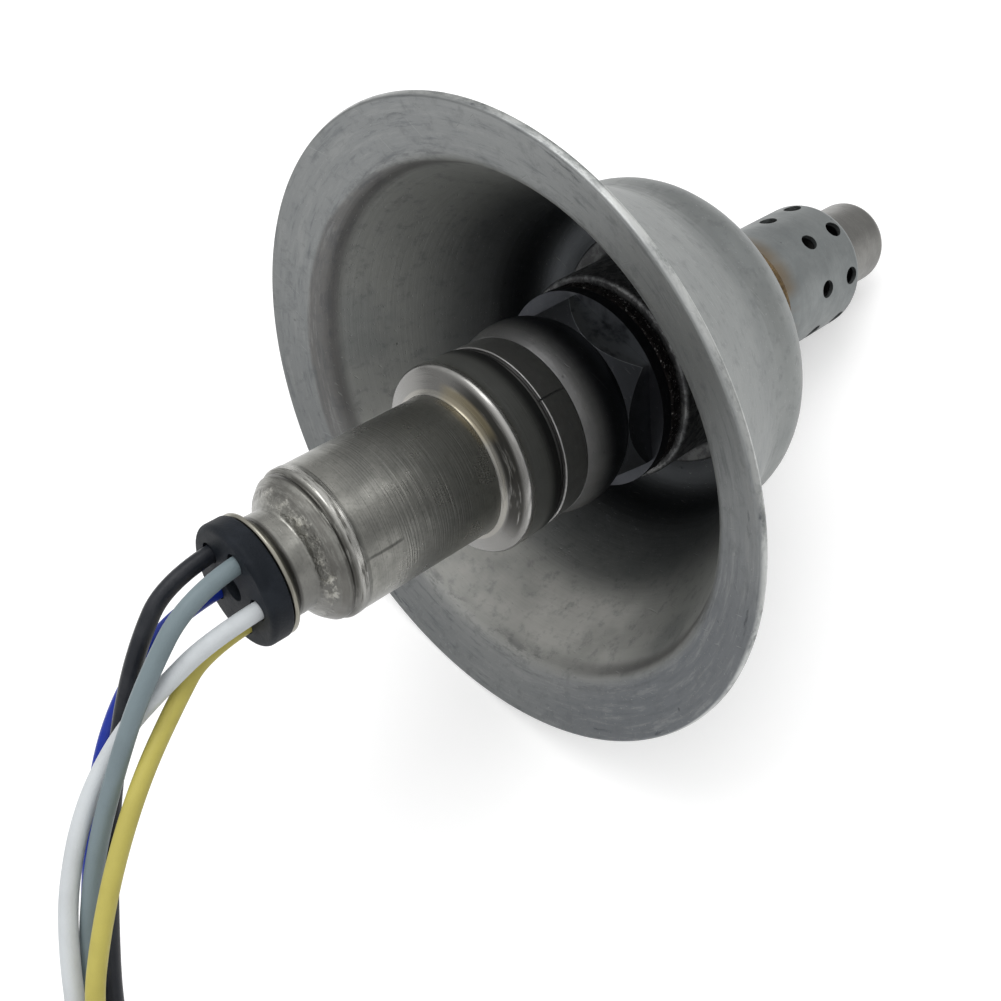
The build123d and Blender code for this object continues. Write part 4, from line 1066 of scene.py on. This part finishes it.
# %% Braid finish
braid = plastic("sleeve braid", (0.020, 0.021, 0.023), (0.10, 0.10, 0.10), 0.55, size=0.8, share=0.10,
                seed=60.0, smear=0.2, shine=0.4)
turn = parts(put(braid.tree, "ShaderNodeAttribute", attribute_name="wrap").outputs["Vector"])
one_way, crossing = weave_of(turn, turn[2], STRANDS, PITCH)
# The hollows of the weave are darker: painted shade between the strands.
braid.mark((0.006, 0.006, 0.007), 0.8, ramp(crossing, 0.1, -0.7), 0.8)
threads = maths("SINE", times(one_way, 5.0))
braid.mark((0.060, 0.062, 0.066), 0.45, ramp(threads, 0.2, 0.9), 0.35)
sleeve_braid = braid.done(0.08, maths("ADD", crossing, times(threads, 0.3)))

# %% Sleeve
sleeve_line = curve_line(SLEEVE)
sleeve_data = bpy.data.meshes.new("sleeve line")
steps = [(i, i + 1) for i in range(len(sleeve_line) - 1)]
sleeve_data.from_pydata([tuple(p) for p in sleeve_line], steps, [])
sleeve = new_object("sleeve", sleeve_data)
run_tree(sleeve, braid_tree, Radius=3.38 * MM, Relief=0.1 * MM, Strands=STRANDS, Pitch=PITCH, Steps=96,
         Step_Length=0.4 * MM, Finish=sleeve_braid)
make_plain(sleeve)
close_up(sleeve, sharp=60)
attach(sleeve, "root")
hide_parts("lead_sleeve")
print("sleeve", round(line_length(sleeve_line) * 1000, 1), "mm")

# %% [markdown]
# The boot is shrunk plastic and takes a soft shine. The plug's housing is moulded in dark grey
# plastic with a fine grain, its seal ring is silicone and the slider that locks it is lighter.

# %% Boot and plug
PLUG = {
    "sleeve_boot": ("boot plastic", (0.013, 0.014, 0.016), (0.09, 0.09, 0.09), 0.34, 0.5),
    "connector_body": ("housing plastic", (0.026, 0.027, 0.029), (0.10, 0.10, 0.10), 0.48, 0.4),
    "connector_seal": ("seal silicone", (0.36, 0.085, 0.030), (0.15, 0.05, 0.03), 0.45, 0.4),
    "connector_lock": ("slider plastic", (0.22, 0.23, 0.24), (0.10, 0.10, 0.10), 0.42, 0.4),
}
for seed, (name, (*look, shine)) in enumerate(PLUG.items()):
    mould = plastic(*look, size=0.9, share=0.10, seed=70 + seed * 2.9, smear=0.2, shine=shine)
    dress(name, mould.done(0.04))
blade = steel("tinned brass", (0.46, 0.44, 0.38), (0.32, 0.30, 0.25), 0.22, 0.36, cloud_size=2.0, seed=81.0)
blade.mark((0.40, 0.31, 0.15), 0.3, blade.wear["Scratch"], 0.4)
dress("connector_terminals", blade.done(0.02))
undressed = [o.name for o in nodes.values() if not o.hide_render and any(
    place.material is None or not place.material.use_nodes for place in o.material_slots)]
print("pieces left without a finish", undressed)

# %% [markdown]
# ## Floor and light
# Bare metal shows what is round it, so the light is part of its look. The sky is soft and
# brighter overhead than at the horizon, as in a room with a big diffuser above. One lamp hangs
# over the bell, and a weak one stands to the right and gives the casing its second highlight.
# The floor is plain and pale, and white where the camera or a reflection sees it.

# %% Floor
FLOOR_SIZE, FLOOR_GLOW = 6, 0.34
bpy.ops.mesh.primitive_plane_add(size=FLOOR_SIZE, location=(0, 0, 0))
floor = bpy.context.object
floor.name = "floor"
floor_material = bpy.data.materials.new("pale floor")
floor_material.use_nodes = True
tree = floor_material.node_tree
floor_shader = tree.nodes["Principled BSDF"].inputs
rays = put(tree, "ShaderNodeLightPath").outputs
mirrored = maths("MAXIMUM", rays["Is Glossy Ray"], rays["Is Transmission Ray"])
seen = maths("MAXIMUM", rays["Is Camera Ray"], mirrored)
for label, value in (("Base Color", (0.8, 0.8, 0.8, 1)), ("Roughness", 0.9), ("Emission Color", (1, 1, 1, 1)),
                     ("Emission Strength", times(seen, FLOOR_GLOW))):
    feed(floor_shader[label], value)
floor.data.materials.append(floor_material)


# %% Lamps
def soft_lamp(name, place, aim, size, watts):
    """A square area lamp at a place in metres, turned to its aim."""
    data = bpy.data.lights.new(name, "AREA")
    data.size = size
    data.energy = watts
    lamp = new_object(name, data)
    lamp.location = place
    lamp.rotation_euler = (Vector(aim) - Vector(place)).to_track_quat("-Z", "Y").to_euler()


MIDDLE = (0, 0, 0.03)
soft_lamp("lamp over the bell", (0.06, 0.13, 0.60), MIDDLE, size=0.35, watts=0.9)
soft_lamp("lamp on the right", (0.47, -0.15, 0.37), MIDDLE, size=0.22, watts=0.22)

# %% Sky
HORIZON, ZENITH = 0.45, 1.15
world = bpy.data.worlds.new("studio")
world.use_nodes = True
tree = world.node_tree
upward = parts(put(tree, "ShaderNodeTexCoord").outputs["Generated"])["Z"]
background = tree.nodes["Background"].inputs
feed(background["Color"], (1, 1, 1, 1))
feed(background["Strength"], scaled(upward, 0.0, 1.0, HORIZON, ZENITH))
bpy.context.scene.world = world
bpy.context.scene.view_settings.view_transform = "Standard"
